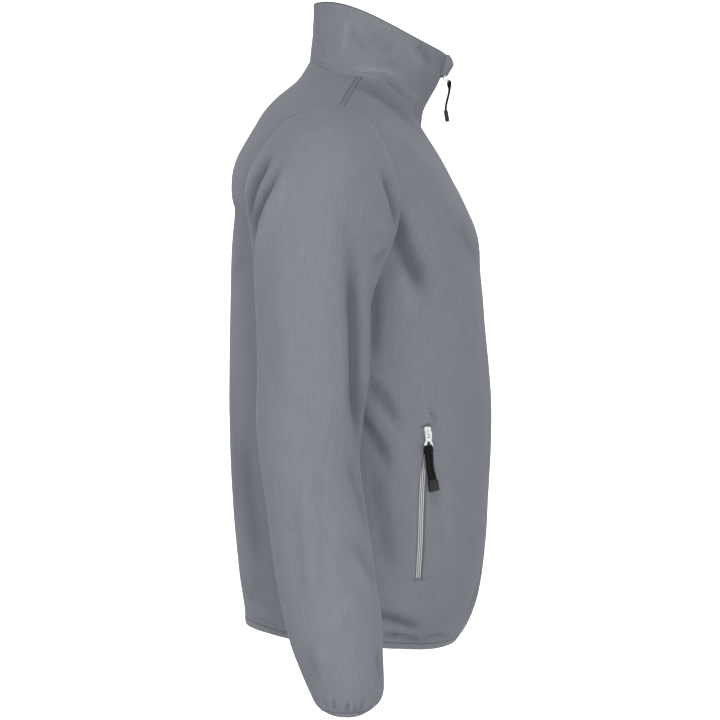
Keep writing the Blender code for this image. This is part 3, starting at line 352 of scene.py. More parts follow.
FRONT_CREASES = table(
    Crease,
    (((387, 196), (394, 218), (400.5, 237), (409, 256), (419, 276), (429, 300)), 9, 7.5, 7.4),
    (((394, 210), (401, 224), (408, 238)), 6, 7, 2.2),
    # its painted shade stands for the sleeve's shadow on the body beside it
    (((372.5, 262), (374, 285), (374.5, 312), (374, 336), (373, 366)), 5, 5, 3.6),
    (((370, 462), (376, 495), (384, 535), (392, 578)), 12, 7, 2.9),
    (((397, 268), (404, 288), (414, 310)), 6, 6, -1),
    (((362, 372), (374, 387), (385, 401), (393, 414), (399, 428)), 5.5, 6, 4),
    (((338, 386), (352, 404), (366, 424), (377, 441), (386, 458), (392, 476)), 5.5, 5.5, 5.4),
    (((364, 398), (380, 414), (396, 434), (408, 456)), 4.5, 4.5, -0.9),
    (((364, 612), (380, 616.5), (394, 620), (408, 624.5), (426, 630)), 5.4, 4.6, 5),
    (((380, 628), (398, 631), (416, 635)), 2.6, 2.6, -0.9),
    (((381, 634), (394, 635), (406, 636.5), (415, 639.5), (423, 642.5)), 2.6, 2.8, 4.2),
    (((392, 639.5), (404, 641), (416, 645)), 2.2, 2.2, -0.8),
    (((368, 645), (386, 646.5), (400, 647), (412, 646)), 2, 2, 2.6),
    (((417, 641.5), (425, 638.5), (434, 636), (444, 635), (452, 635)), 2.4, 2.6, 3),
    (((426, 418.5), (429, 418.5)), 3.4, 3.4, -1.2),
    (((428, 411), (432.5, 413.5), (435.5, 418), (437, 427)), 2.2, 2.2, 2.6),
    (((421, 434), (423.6, 427.4), (428.4, 424.6), (433.4, 427), (436, 434)), 1.5, 1.5, 1.6),
    (((424, 583), (427, 581), (431, 577)), 2, 2, 0.9),
    (((412, 581), (415.5, 580.6), (418.5, 581.4)), 1.3, 1.3, 1.6),
    (((420.5, 580.6), (423, 580), (426, 578.6)), 1.3, 1.3, 1.4),
    (((441, 466), (446, 480), (449, 520), (449, 570)), 4, 4, -0.7),
    (((-62, -250), (-66, -330), (-58, -430), (-64, -520)), 16, 20, 1.4, Chart.FRONT),
    (((-24, -560), (-60, -604), (-96, -640)), 12, 9, 2, Chart.FRONT),
    (((-128, -176), (-84, -212), (-42, -232)), 12, 16, 1.8, Chart.FRONT),
)
NOTCH = Crease(
    ((-188, -178), (-150, -166), (-84, -160), (-30, -162), (30, -157), (96, -161), (150, -168), (186, -182)),
    32, 8, 3.8, Chart.BACK,
)
BACK_CREASES = table(
    Crease,
    (((-150, -214), (-100, -236), (-50, -246)), 16, 12, 1.6, Chart.BACK),
    (((-96, -330), (-88, -430), (-104, -540)), 20, 20, 1.8, Chart.BACK),
    (((-30, -440), (-38, -520), (-28, -600)), 18, 16, 1.2, Chart.BACK),
    (((-150, -590), (-110, -604), (-70, -608)), 9, 12, 1.6, Chart.BACK),
    # its painted shade stands for the sleeve's shadow on the back beside it
    (((240, 420), (246, 480), (252, 532), (259, 578)), 9, 9, 3.6),
    (((242, 594), (256, 600), (272, 601)), 4, 4, 1.3),
    (((248, 614), (264, 621), (284, 628)), 3, 3, 1.2),
)
COLLAR_CREASES = table(
    Crease,
    (((350, 67), (362, 71), (374, 70.5), (386, 71.5), (396, 77), (404, 86)), 3, 3, -2.3),
    (((382, 79), (391, 85.5), (398, 92), (408, 101)), 3.2, 3.6, 3.2),
    (((378, 60), (392, 62), (404, 68)), 4, 4, 0.8),
    (((364, 28), (379, 43), (397, 54)), 8, 8, 1.5),
    (((404, 92), (412, 96), (420, 104)), 3.4, 3.4, -1.2),
    (((416, 42), (420.5, 48), (427, 58), (433, 69)), 3.4, 3.8, 2.4),
    (((408, 47), (414, 56), (424, 70)), 3.4, 3.4, -1.2),
    (((437, 56), (440, 62), (441, 72)), 2.4, 2.4, 1.2),
    (((349, 26), (353, 36), (361, 46), (370, 52)), 4.5, 4.5, 1.3),
    (((346, 14), (345.5, 32), (342, 57)), 3.2, 3.2, -1.9),
    (((318, 58), (328, 62), (336, 64)), 3, 3, -0.8),
    (((382, 98), (395, 108), (408, 121)), 4, 3, 1.2),
)
# Below the collar's front the cloth dips before it meets the neck seam.
YOKE_CREASES = table(
    Crease,
    (((346, 86), (364, 86), (380, 94), (396, 106), (412, 120), (424, 134)), 9, 5, 3.6),
    (((380, 116), (396, 128), (410, 144)), 9, 9, -0.6),
)


# --- small maths ------------------------------------------------------------------------------


def evened(rows: Array, reach: int, closed: bool) -> Array:
    """Each row's mean with its neighbours up to a reach away on both sides."""
    padded = np.pad(rows, ((reach, reach), (0, 0)), mode="wrap" if closed else "edge")
    return np.stack([padded[at : at + len(rows)] for at in range(2 * reach + 1)]).mean(0)


def unit(vectors: Array) -> Array:
    """Vectors scaled to a length of one along their last axis."""
    return vectors / np.maximum(np.linalg.norm(vectors, axis=-1, keepdims=True), 1e-9)


def smooth(values: Array) -> Array:
    """A soft step: 0 below 0, 1 above 1."""
    held = np.clip(values, 0, 1)
    return held * held * (3 - 2 * held)


def walked(line: Array) -> Array:
    """The distance from the first point to each point of a line, or on average of a stack of rings."""
    steps = np.linalg.norm(np.diff(line, axis=0), axis=-1)
    return np.concatenate([[0], np.cumsum(steps.reshape(len(steps), -1).mean(axis=1))])


def read_at(values: Array, here: Array, wanted: Array) -> Array:
    """Values along a line whose points lie at the distances here, read at the wanted distances."""
    return np.stack([np.interp(wanted, here, column) for column in values.T], axis=-1)


def at_lengths(line: Array, wanted: Array) -> Array:
    """Points of a line at distances from its start."""
    return read_at(line, walked(line), wanted)


def through(rows: Sequence | Array, places: Sequence[float] | Array) -> Array:
    """A smooth curve through the rows of a table, or of a stack of rings.

    Args:
        rows: The table; each row is a list of numbers or a ring of points.
        places: Where to read it, counted in rows.

    Returns:
        One row for each place.
    """
    rows = np.asarray(rows, float)
    last = len(rows) - 1
    places = np.asarray(places, float)
    first = np.clip(np.floor(places).astype(int), 0, last - 1)
    part = (places - first).reshape(-1, *[1] * (rows.ndim - 1))
    padded = np.concatenate([2 * rows[:1] - rows[1:2], rows, 2 * rows[-1:] - rows[-2:-1]])
    before, start, end, after = (padded[first + step] for step in range(4))
    return 0.5 * (
        2 * start
        + (end - before) * part
        + (2 * before - 5 * start + 4 * end - after) * part**2
        + (3 * start - before - 3 * end + after) * part**3
    )


def stations(length: float, count: int, steps: Sequence[float], near: bool, far: bool) -> Array:
    """Distances along a line, even in the middle and in fine steps at the ends that ask for it.

    Args:
        length: The line's length.
        count: How many even intervals lie between the fine ones.
        steps: The fine distances from an end, from 0 up.
        near: Whether the start is fine.
        far: Whether the end is fine.

    Returns:
        Rising distances from 0 to length.
    """
    start = np.asarray(steps if near else (0.0,))
    end = length - np.asarray(steps if far else (0.0,))[::-1]
    middle = np.linspace(start[-1], end[0], count + 1)[1:-1]
    return np.concatenate([start, middle, end])


# --- meshes -----------------------------------------------------------------------------------


def new_piece(
    name: str,
    points: Array,
    faces: Iterable[Sequence[int]],
    material: Material,
    corner_uv: Array | None = None,
    sharp: float = 50.0,
) -> Piece:
    """Makes a mesh object with its place in its mesh.

    Args:
        name: The piece's name.
        points: Its points, in millimetres.
        faces: Point numbers of each face.
        material: Its finish.
        corner_uv: A UV place in metres for each face corner, in the faces' order.
        sharp: The angle in degrees from which an edge stays sharp.

    Returns:
        The new object.
    """
    mesh = bpy.data.meshes.new(name)
    mesh.from_pydata((np.asarray(points) * MM).tolist(), [], [tuple(map(int, f)) for f in faces])
    if corner_uv is not None:
        layer = mesh.uv_layers.new(name="cloth")
        layer.data.foreach_set("uv", np.asarray(corner_uv, np.float32).ravel())
    mesh.materials.append(material)
    mesh.update()
    mesh.shade_smooth()
    mesh.set_sharp_from_angle(angle=math.radians(sharp))
    piece = bpy.data.objects.new(name, mesh)
    bpy.context.scene.collection.objects.link(piece)
    return piece


def lattice(rows: int, columns: int, closed: bool) -> Array:
    """(row, column) of each face's four corners; a closed lattice runs one column past its last.

    Args:
        rows: How many rows of points there are.
        columns: How many columns.
        closed: Whether the last column joins the first.

    Returns:
        Whole numbers by face, corner and (row, column).
    """
    row, column = np.meshgrid(np.arange(rows - 1), np.arange(columns - (not closed)), indexing="ij")
    corners = [(row, column), (row, column + 1), (row + 1, column + 1), (row + 1, column)]
    return np.stack([np.stack([r, c], -1).reshape(-1, 2) for r, c in corners], axis=1)


@dataclass
class Sweep:
    """A section carried along a path.

    Each section point is (across, out); the path's side and out vectors say which way they run.
    """

    name: str
    path: Array
    side: Array
    out: Array
    section: Array
    closed: bool = False
    sharp: float = 50.0

    def build(self, material: Material) -> Piece:
        """Makes the swept piece, capped unless it closes on itself.

        Args:
            material: Its finish.

        Returns:
            The new piece.
        """
        section = np.asarray(self.section, float)
        if section.ndim == 2:
            section = np.broadcast_to(section, (len(self.path), *section.shape))
        sideways, outwards = self.side[:, None] * section[..., :1], self.out[:, None] * section[..., 1:]
        points = self.path[:, None] + sideways + outwards
        count, around = points.shape[:2]
        looped = np.concatenate([self.path, self.path[:1]]) if self.closed else self.path
        along = walked(looped) * MM
        ring = np.concatenate([section[0], section[0][:1]])
        across = walked(ring) * MM
        cells = lattice(count + self.closed, around, True)
        index = (cells[..., 0] % count) * around + cells[..., 1] % around
        uv = np.stack([across[cells[..., 1]], along[cells[..., 0]]], -1)
        turned = np.linalg.det(np.stack([self.side[0], self.out[0], self.path[1] - self.path[0]]))
        clockwise = np.cross(section[0], np.roll(section[0], -1, axis=0)).sum() < 0
        flip = (turned > 0) == clockwise
        if flip:
            index, uv = index[:, ::-1], uv[:, ::-1]
        faces, corner_uv = index.tolist(), uv.reshape(-1, 2)
        if not self.closed:
            for row in (0, count - 1):
                cap = list(range(row * around, (row + 1) * around))
                if (row == 0) != flip:
                    cap.reverse()
                faces.append(cap)
                corner_uv = np.concatenate([corner_uv, np.full((around, 2), along[row])])
        return new_piece(self.name, points.reshape(-1, 3), faces, material, corner_uv, self.sharp)


def oval(width: float, height: float, count: int) -> Array:
    """A closed oval section of that width and height."""
    angle = np.linspace(0, 2 * math.pi, count, endpoint=False)
    return np.stack([np.cos(angle) * width / 2, np.sin(angle) * height / 2], axis=1)


def path_frames(path: Array, out: Array) -> tuple[Array, Array]:
    """(side, out) at each point of a path, square to it and to each other.

    Args:
        path: The line's points.
        out: Roughly the way out at each point.

    Returns:
        Two rows of unit vectors.
    """
    run = unit(np.gradient(path, axis=0))
    out = unit(out - run * (out * run).sum(axis=-1, keepdims=True))
    return np.cross(run, out), out


# --- cloth ------------------------------------------------------------------------------------


@dataclass
class ClothGrid:
    """A panel as rows and columns of points on its outer face, in millimetres."""

    name: str
    points: Array
    closed: bool = False
    hole: tuple[int, int, int, int] | None = None
    seams: dict[Border, Array] = field(default_factory=dict)
    rim_steps: int = 3
    outward: float = 1.0
    # painted shade for each point: above 0 darkens the fleece's colour, below 0 paints it lighter
    shade: Array = field(init=False)

    def __post_init__(self) -> None:
        """Finds which way the panel faces."""
        self.shade = np.zeros(self.points.shape[:2])
        axis = self.points.mean(axis=1, keepdims=True) if self.closed else np.zeros(3)
        offset = self.points - axis
        offset[..., 2] = 0
        self.outward = float(np.sign((self.normals() * offset).sum()))

    def normals(self) -> Array:
        """Unit normals of the outer face.

        Returns:
            A unit vector for each point.
        """
        if self.closed:
            across = np.roll(self.points, -1, axis=1) - np.roll(self.points, 1, axis=1)
        else:
            across = np.gradient(self.points, axis=1)
        along = np.gradient(self.points, axis=0)
        return unit(np.cross(across, along)) * self.outward

    def border(self, which: Border, values: Array, inside: int = 0) -> Array:
        """The values on a border, or on the row or column that many steps inside it.

        Args:
            which: The border.
            values: One value for each point.
            inside: How many steps further in to read.

        Returns:
            The values there.
        """
        if which is Border.FIRST_ROW:
            return values[inside]
        if which is Border.LAST_ROW:
            return values[-1 - inside]
        if which is Border.FIRST_COLUMN:
            return values[:, inside]
        return values[:, -1 - inside]

    def from_border(self, which: Border) -> Array:
        """Each point's distance from a border, measured along its row or column.

        Args:
            which: The border.

        Returns:
            Millimetres, for each point.
        """
        axis = 0 if which in (Border.FIRST_ROW, Border.LAST_ROW) else 1
        step = np.linalg.norm(np.diff(self.points, axis=axis), axis=-1)
        far = which in (Border.LAST_ROW, Border.LAST_COLUMN)
        step = np.flip(step, axis) if far else step
        start = np.zeros_like(step[:1] if axis == 0 else step[:, :1])
        distance = np.concatenate([start, np.cumsum(step, axis=axis)], axis=axis)
        return np.flip(distance, axis) if far else distance

    def spread_in(self, which: Border, values: Array) -> Array:
        """Values along a border, carried inwards over the whole panel."""
        return values[None] if which in (Border.FIRST_ROW, Border.LAST_ROW) else values[:, None]

    def press(self, push: Array) -> None:
        """Moves the points out along their normals by that many millimetres."""
        self.points = self.points + self.normals() * push[..., None]

    def window(self, reach: float) -> Array:
        """0 on the seams, rising to 1 at that distance from them.

        Args:
            reach: Where it reaches 1, in millimetres from the seam.

        Returns:
            One value for each point.
        """
        held = np.ones(self.points.shape[:2])
        for which in self.seams:
            held = held * smooth(self.from_border(which) / reach)
        return held

    def sink_seams(self, depth: float, width: float) -> None:
        """Rolls the cloth in at its seams, along the direction that both pieces there share.

        Args:
            depth: How far in, in millimetres.
            width: How wide the roll is.
        """
        most = np.zeros(self.points.shape[:2])
        move = np.zeros_like(self.points)
        for which, shared in self.seams.items():
            fall = np.clip(1 - self.from_border(which) / width, 0, 1) ** 2
            toward = np.broadcast_to(self.spread_in(which, shared), self.points.shape)
            move = np.where((fall > most)[..., None], -toward * fall[..., None], move)
            most = np.maximum(most, fall)
        self.points = self.points + move * depth

    def line_at(self, which: Border, distance: float, part: slice = slice(None)) -> tuple:
        """(points, normals) of the line that runs beside a border at a distance from it.

        Args:
            which: The border.
            distance: How far from it, in millimetres.
            part: The stretch of the line to keep.

        Returns:
            The line's points and the way out at each.
        """
        away = self.from_border(which)
        normals = self.normals()
        if which in (Border.FIRST_COLUMN, Border.LAST_COLUMN):
            away, points, normals = away.T, self.points.transpose(1, 0, 2), normals.transpose(1, 0, 2)
        else:
            points = self.points
        if which in (Border.LAST_ROW, Border.LAST_COLUMN):
            away, points, normals = away[::-1], points[::-1], normals[::-1]
        line, out = (
            np.array([read_at(values[:, i], away[:, i], distance) for i in range(away.shape[1])])[part]
            for values in (points, normals)
        )
        return line, unit(out)

    def shell(self, material: Material, thickness: float, folded: Sequence[Border] = ()) -> Piece:
        """Makes the panel a thin closed wall.

        Args:
            material: Its finish.
            thickness: The wall, in millimetres.
            folded: Borders whose rims are round, as a folded edge is. A hole's rims are too.

        Returns:
            The new piece.
        """
        rows, columns = self.points.shape[:2]
        normals = self.normals()
        for which, shared in self.seams.items():
            self.border(which, normals)[...] = shared
        away = np.zeros_like(self.points)
        for which in folded:
            edge, inside = (self.border(which, self.points, step) for step in (0, 1))
            self.border(which, away)[...] += unit(edge - inside)
        cells = lattice(rows, columns, self.closed)
        if self.hole:
            top, bottom, left, right = self.hole
            span = slice(top, bottom + 1)
            away[span, left] += unit(self.points[span, left] - self.points[span, left - 1])
            away[span, right] += unit(self.points[span, right] - self.points[span, right + 1])
            run = slice(left, right + 1)
            away[top, run] += unit(self.points[top, run] - self.points[top - 1, run])
            away[bottom, run] += unit(self.points[bottom, run] - self.points[bottom + 1, run])
            low = cells.min(axis=1)
            inside = (low[:, 0] >= top) & (low[:, 0] < bottom) & (low[:, 1] >= left) & (low[:, 1] < right)
            cells = cells[~inside]
        away = away - normals * (away * normals).sum(axis=-1, keepdims=True)
        bulge = (np.linalg.norm(away, axis=-1) > 1e-6) * thickness / 2
        away = unit(away)
        outer = self.points - away * bulge[..., None]
        inner = outer - normals * thickness
        count = rows * columns
        index = cells[..., 0] * columns + cells[..., 1] % columns
        widths = np.linalg.norm(np.diff(self.points, axis=1, append=self.points[:, :1]), axis=-1)
        level = np.concatenate([[0], np.cumsum(widths.mean(axis=0))])
        length = walked(self.points)
        uv = np.stack([level[cells[..., 1]], length[cells[..., 0]]], axis=-1) * MM
        flat = self.points.reshape(-1, 3)
        facing = np.cross(flat[index[:, 2]] - flat[index[:, 0]], flat[index[:, 3]] - flat[index[:, 1]])
        if (facing * normals.reshape(-1, 3)[index[:, 0]]).sum() < 0:
            index, uv = index[:, ::-1], uv[:, ::-1]
        faces = [*index.tolist(), *(index[:, ::-1] + count).tolist()]
        corner_uv = [*uv.reshape(-1, 2).tolist(), *uv[:, ::-1].reshape(-1, 2).tolist()]

        corners = {}
        for face, places in zip(index.tolist(), uv.tolist()):
            for turn in range(4):
                corners[(face[turn], face[(turn + 1) % 4])] = (places[turn], places[(turn + 1) % 4])
        rims, rim_points = {}, []
        turns = np.linspace(0, math.pi, self.rim_steps + 2)[1:-1]
        flat_outer, flat_inner = outer.reshape(-1, 3), inner.reshape(-1, 3)
        flat_away, flat_bulge = away.reshape(-1, 3), bulge.reshape(-1)

        def rim(point: int) -> list[int]:
            """The point numbers down the rim below a border point.

            Args:
                point: A border point's number on the outer face.

            Returns:
                Numbers from the outer face to the inner one.
            """
            if point not in rims:
                start = 2 * count + len(rim_points)
                middle = (flat_outer[point] + flat_inner[point]) / 2
                half = (flat_outer[point] - flat_inner[point]) / 2
                for turn in turns:
                    swell = flat_away[point] * flat_bulge[point] * math.sin(turn)
                    rim_points.append(middle + half * math.cos(turn) + swell)
                rims[point] = [point, *range(start, start + self.rim_steps), point + count]
            return rims[point]

        for (start, end), (uv_start, uv_end) in corners.items():
            if (end, start) in corners:
                continue
            first, second = rim(start), rim(end)
            for step in range(self.rim_steps + 1):
                faces.append((first[step + 1], second[step + 1], second[step], first[step]))
                corner_uv += [uv_start, uv_end, uv_end, uv_start]
        points = np.vstack([flat_outer, flat_inner, np.array(rim_points).reshape(-1, 3)])
        piece = new_piece(f"cloth_{self.name}", points, faces, material, np.array(corner_uv), 180.0)
        # The painted shade goes on the fleece as a point attribute; the inner face gets none and each rim
        # takes its border's.
        shade = np.zeros(len(points), np.float32)
        shade[:count] = self.shade.ravel()
        for point, chain in rims.items():
            shade[chain[1:]] = shade[point]
        piece.data.attributes.new("fold", "FLOAT", "POINT").data.foreach_set("value", shade)
        return piece


def share_seams(grids: dict[str, ClothGrid], seams: dict[str, Sequence[Border]]) -> None:
    """Gives each seam the direction that the panels meeting there share.

    Args:
        grids: The panels by name.
        seams: The borders of each panel that are sewn to something.
    """
    sums: dict[tuple, dict[str, Array]] = {}
    keys = {}
    for name, borders in seams.items():
        grid = grids[name]
        normals = grid.normals()
        surface = "torso" if name.startswith(("front", "back")) else name
        for which in borders:
            points = np.round(grid.border(which, grid.points), 2) + 0.0
            keys[name, which] = [tuple(point) for point in points]
            for key, normal in zip(keys[name, which], grid.border(which, normals)):
                here = sums.setdefault(key, {})
                here[surface] = here.get(surface, 0) + normal
    for (name, which), points in keys.items():
        shared = np.array([sum(unit(n) for n in sums[key].values()) for key in points])
        grids[name].seams[which] = unit(shared)


@dataclass
class Pattern:
    """Lays out the outer face of each panel from the frame's sections."""

    spacing: float = 4.0
    steps: tuple[float, ...] = (0.0, 0.7, 1.5, 2.2, 2.9, 3.7, 5.0)
    ring_samples: int = 700
    long_samples: int = 1200
    sleeve_samples: int = 600
    collar_samples: int = 300
    front_slot: float = 6.4
    hem_climb: float = 5.0
    hem_climb_rows: float = 1.6
    cuff_lift: float = 3.0
    cuff_lift_power: float = 2.5
    cuff_lift_reach: float = 16.0
    # (height, half the slit's width there)
    slit_mouth: tuple[tuple[float, float], ...] = (
        (-585.0, 3.4), (-560.0, 3.8), (-478.0, 3.8), (-446.0, 1.6), (-411.5, 1.0),
    )
    slit_share: float = 0.03
    slit_samples: int = 80
    bend_rows: float = 7.0
    bend_margin: float = 14.0
    bend_passes: int = 40
    front_arm_steps: int = 62
    back_arm_steps: int = 66
    shoulder_steps: int = 30
    inner_columns: int = 50
    outer_columns: int = 20
    back_columns: int = 72
    armhole_fade: tuple[float, ...] = (1.0, 0.72, 0.46, 0.24, 0.1)
    neck_fade: tuple[float, ...] = (1.0, 0.55, 0.25, 0.08)
    collar_spacing: float = 2.4
    guard_rows: int = 15
    guard_columns: int = 29
    foot_columns: int = 20
    guard_half: float = 12.0
    guard_wall: float = 1.8
    guard_clearance: float = -0.7

    def body_places(self) -> tuple[Array, int, int]:
        """Rows from the hem to the underarm, and the rows of the slit's lower and upper ends.

        Returns:
            Places counted in rows of the table, and two row numbers.
        """
        fine = np.linspace(0, len(BODY_ROWS) - 1, self.long_samples)
        levels = through([(r.front_z + r.side_z) / 2 for r in BODY_ROWS], fine)
        low, high = (np.interp(POCKET_LINE[end][1], levels, fine) for end in (-1, 0))
        places, ends = [0.0], []
        for start, end in ((0.0, low), (low, high), (high, fine[-1])):
            bottom, top = np.interp([start, end], fine, levels)
            count = round((top - bottom) / self.spacing)
            heights = stations(top - bottom, count, self.steps, True, end < fine[-1])
            places += list(np.interp(bottom + heights[1:], levels, fine))
            ends.append(len(places) - 1)
        return np.array(places), ends[0], ends[1]

    def ring(
        self, sign: int, middle: Sequence[float], edge: Array, axis_y: float, start_x: float, climb: float
    ) -> Array:
        """A level line from the middle round to a panel's edge, through that edge.

        Args:
            sign: -1 for a front and 1 for the back.
            middle: (y, z, squareness) of the panel's middle.
            edge: Where the line meets the seam.
            axis_y: The y that the line's curve is measured from.
            start_x: Where the line starts.
            climb: The power by which its height moves from the middle's to the edge's.

        Returns:
            Points along the line.
        """
        square = middle[2]
        depth = abs(axis_y - middle[0])
        reach = min(abs(axis_y - edge[1]) / depth, 0.999)
        width = edge[0] / (1 - reach**square) ** (1 / square)
        from_angle = math.asin((start_x / width) ** (square / 2))
        to_angle = math.asin(min(1.0, (edge[0] / width) ** (square / 2)))
        angle = np.linspace(from_angle, to_angle, self.ring_samples)
        x = width * np.sin(angle) ** (2 / square)
        y = axis_y + sign * depth * np.clip(np.cos(angle), 0, 1) ** (2 / square)
        z = middle[1] + (edge[2] - middle[1]) * (x / edge[0]) ** climb
        line = np.stack([x, y, z], axis=1)
        line[-1] = edge
        return line

    def panel(self, front: bool) -> tuple[Array, tuple[int, int, int, int] | None]:
        """The points of half the front or half the back for +X, hem first, and a front's slit.

        Args:
            front: Whether it is a front.

        Returns:
            The grid, and the slit's first and last row and column, or None for the back.
        """
        arm_rows = FRONT_ARM_ROWS if front else BACK_ARM_ROWS
        arm_steps = self.front_arm_steps if front else self.back_arm_steps
        body_middle, shoulder_middle = (
            [
                (r.front_y, r.front_z, r.front_square) if front else (r.back_y, r.back_z, r.back_square)
                for r in rows
            ]
            for rows in (BODY_ROWS, SHOULDER_ROWS)
        )
        arm_middle = [(r.middle_y, r.middle_z, r.square) for r in arm_rows]
        side = [(r.side_x, r.side_y, r.side_z) for r in BODY_ROWS]
        arm = side[-1:] + [(r.edge_x, r.edge_y, r.edge_z) for r in arm_rows]
        shoulder = arm[-1:] + [(r.seam_x, r.seam_y, r.seam_z) for r in SHOULDER_ROWS]
        body, low, high = self.body_places()
        underarm, point = len(side) - 1, len(side) - 1 + len(arm_rows)
        arm_places = np.linspace(0, len(arm_rows), arm_steps + 1)[1:]
        run = math.dist(shoulder[0], shoulder[-1])
        top_places = stations(run, self.shoulder_steps, self.steps, False, True)[1:] / run * 3
        places = np.concatenate([body, underarm + arm_places, point + top_places])
        middles = through([*body_middle, *arm_middle, *shoulder_middle], places)
        edges = np.vstack([through(side, body), through(arm, arm_places), through(shoulder, top_places)])
        underarm_row, point_row = len(body) - 1, len(body) - 1 + arm_steps
        lines = []
        for place, row, edge in zip(places, middles, edges):
            axis_y = side[-1][1] if underarm < place < point else edge[1]
            start_x = self.front_slot / 2 if front else 0.0
            climb = 2.0 + self.hem_climb * math.exp(-place / self.hem_climb_rows)
            lines.append(self.ring(-1 if front else 1, row, edge, axis_y, start_x, climb))
        if not front:
            half = []
            for line in lines:
                wanted = stations(walked(line)[-1], self.back_columns, self.steps, False, True)
                half.append(at_lengths(line, wanted))
            return self.softened(np.array(half), underarm_row, point_row), None
        slit = through(POCKET_LINE[::-1], np.linspace(0, len(POCKET_LINE) - 1, self.slit_samples))
        shares = []
        for row in range(low, high + 1):
            line = lines[row]
            y = np.interp(line[:, 2].mean(), slit[:, 1], slit[:, 0])
            shares.append(np.interp(y, line[:, 1], walked(line)) / walked(line)[-1])
        shares = np.interp(np.arange(len(lines)), np.arange(low, high + 1), shares)
        rows = []
        for line, share in zip(lines, shares):
            length = walked(line)[-1]
            mouth = np.interp(line[:, 2].mean(), *np.array(self.slit_mouth).T)
            half = min(mouth, self.slit_share * length)
            place = share * length
            inner = stations(place - half, self.inner_columns, self.steps, True, True)
            outer = stations(length - place - half, self.outer_columns, self.steps, True, True)
            wanted = np.concatenate([inner, [place], place + half + outer])
            rows.append(at_lengths(line, wanted))
        left = len(inner) - 1
        return self.softened(np.array(rows), underarm_row, point_row), (low, high, left, left + 2)

    def softened(self, points: Array, *bends: int) -> Array:
        """The panel with its surface eased where one run of sections meets the next.

        Args:
            points: The panel's grid.
            bends: Rows where one run of sections meets the next.

        Returns:
            The eased grid.
        """
        row = np.arange(len(points))
        near = sum(np.exp(-(((row - bend) / self.bend_rows) ** 2)) for bend in bends)[:, None]
        length = np.cumsum(np.linalg.norm(np.diff(points, axis=1, prepend=points[:, :1]), axis=-1), axis=1)
        inside = smooth((length[:, -1:] - length) / self.bend_margin)
        weight = (np.clip(near, 0, 1) * inside)[1:-1, :, None]
        points = points.copy()
        for _ in range(self.bend_passes):
            even = (points[:-2] + points[2:]) / 2
            points[1:-1] += 0.5 * weight * (even - points[1:-1])
        return points

    def sleeve(self, armhole: Array) -> Array:
        """Rings from the armhole's own points down to the cuff, for +X.

        Args:
            armhole: Its points, from the shoulder down the front and up the back.

        Returns:
            A closed grid, armhole first.
        """
        angles = np.concatenate(
            [
                np.linspace(0, math.pi, self.front_arm_steps + 1)[:-1],
                np.linspace(math.pi, 2 * math.pi, self.back_arm_steps + 1)[:-1],
            ]
        )[:, None]

        def anchored(outer: Sequence, inner: Sequence, front: Sequence, back: Sequence) -> Array:
            """A closed ring through four anchors: outer at angle 0, front at 90 degrees.

            Args:
                outer: The point furthest from the body.
                inner: The point next to the body.
                front: The foremost point.
                back: The rearmost point.

            Returns:
                One point for each angle.
            """
            outer, inner, front, back = (np.asarray(a, float) for a in (outer, inner, front, back))
            mean, twist = (outer + inner + front + back) / 4, (outer + inner - front - back) / 4
            across, along = (outer - inner) / 2, (front - back) / 2
            return mean + across * np.cos(angles) + along * np.sin(angles) + twist * np.cos(2 * angles)

        front, back = armhole[np.argmin(armhole[:, 1])], armhole[np.argmax(armhole[:, 1])]
        start = anchored(armhole[0], armhole[self.front_arm_steps], front, back)
        rings = [armhole]
        for place, row in enumerate(SLEEVE_ROWS, 1):
            level = (row.outer_z + row.inner_z) / 2
            ring = anchored(row[:3], row[3:6], (*row[6:8], level), (*row[8:10], level))
            fade = self.armhole_fade[place] if place < len(self.armhole_fade) else 0.0
            rings.append(ring + fade * (armhole - start))
        rings = np.array(rings)
        fine = np.linspace(0, len(rings) - 1, self.sleeve_samples)
        down = walked(through(rings, fine))
        wanted = stations(down[-1], round(down[-1] / self.spacing), self.steps, True, True)
        made = through(rings, np.interp(wanted, down, fine))
        across = np.abs(made[..., 1] - made[..., 1].mean(axis=1, keepdims=True))
        across = across / across.max(axis=1, keepdims=True)
        fall = np.exp(-(down[-1] - wanted) / self.cuff_lift_reach)[:, None]
        made[..., 2] += self.cuff_lift * across**self.cuff_lift_power * fall
        return made

    def collar(self, neckline: Array) -> Array:
        """Rings from the neck seam up to the collar's folded top edge.

        Args:
            neckline: The neck seam's points, from the opening's right side round to its left.

        Returns:
            The grid, neck seam first.
        """
        neck = SHOULDER_ROWS[-1]
        angles = np.arcsin(np.clip(neckline[:, 0] / neck.seam_x, -1, 1))
        behind = neckline[:, 1] > neck.seam_y
        angles = np.where(behind, np.sign(angles) * math.pi - angles, angles)
        angles[np.argmin(np.abs(neckline[:, 0]) + 1000 * ~behind)] = math.pi
        cos, cos2, sin = np.cos(angles), np.cos(2 * angles), np.sin(angles)

        def wave(front: float, side: float, back: float) -> Array:
            """A smooth value round the neck through its front, side and back."""
            second = (front + back - 2 * side) / 4
            return (front + back) / 2 - second + (front - back) / 2 * cos + second * cos2

        def ring(row: CollarRow) -> Array:
            """One open ring of the collar.

            Args:
                row: Its sizes.

            Returns:
                One point for each angle.
            """
            y = wave(row.front_y, row.side_y, row.back_y)
            z = wave(row.front_z, row.side_z, row.back_z) - row.sag * sin**2 * cos
            return np.stack([row.side_x * sin, y, z], axis=1)

        front, seam, back = (neck.front_y, neck.front_z), neck[:3], (neck.back_y, neck.back_z)
        start = ring(CollarRow(*front, *seam, *back, 0.0))
        rings = [neckline]
        for place, row in enumerate(COLLAR_ROWS, 1):
            made = ring(row)
            made[[0, -1], 0] = neckline[[0, -1], 0]
            fade = self.neck_fade[place] if place < len(self.neck_fade) else 0.0
            rings.append(made + fade * (neckline - start))
        rings = np.array(rings)
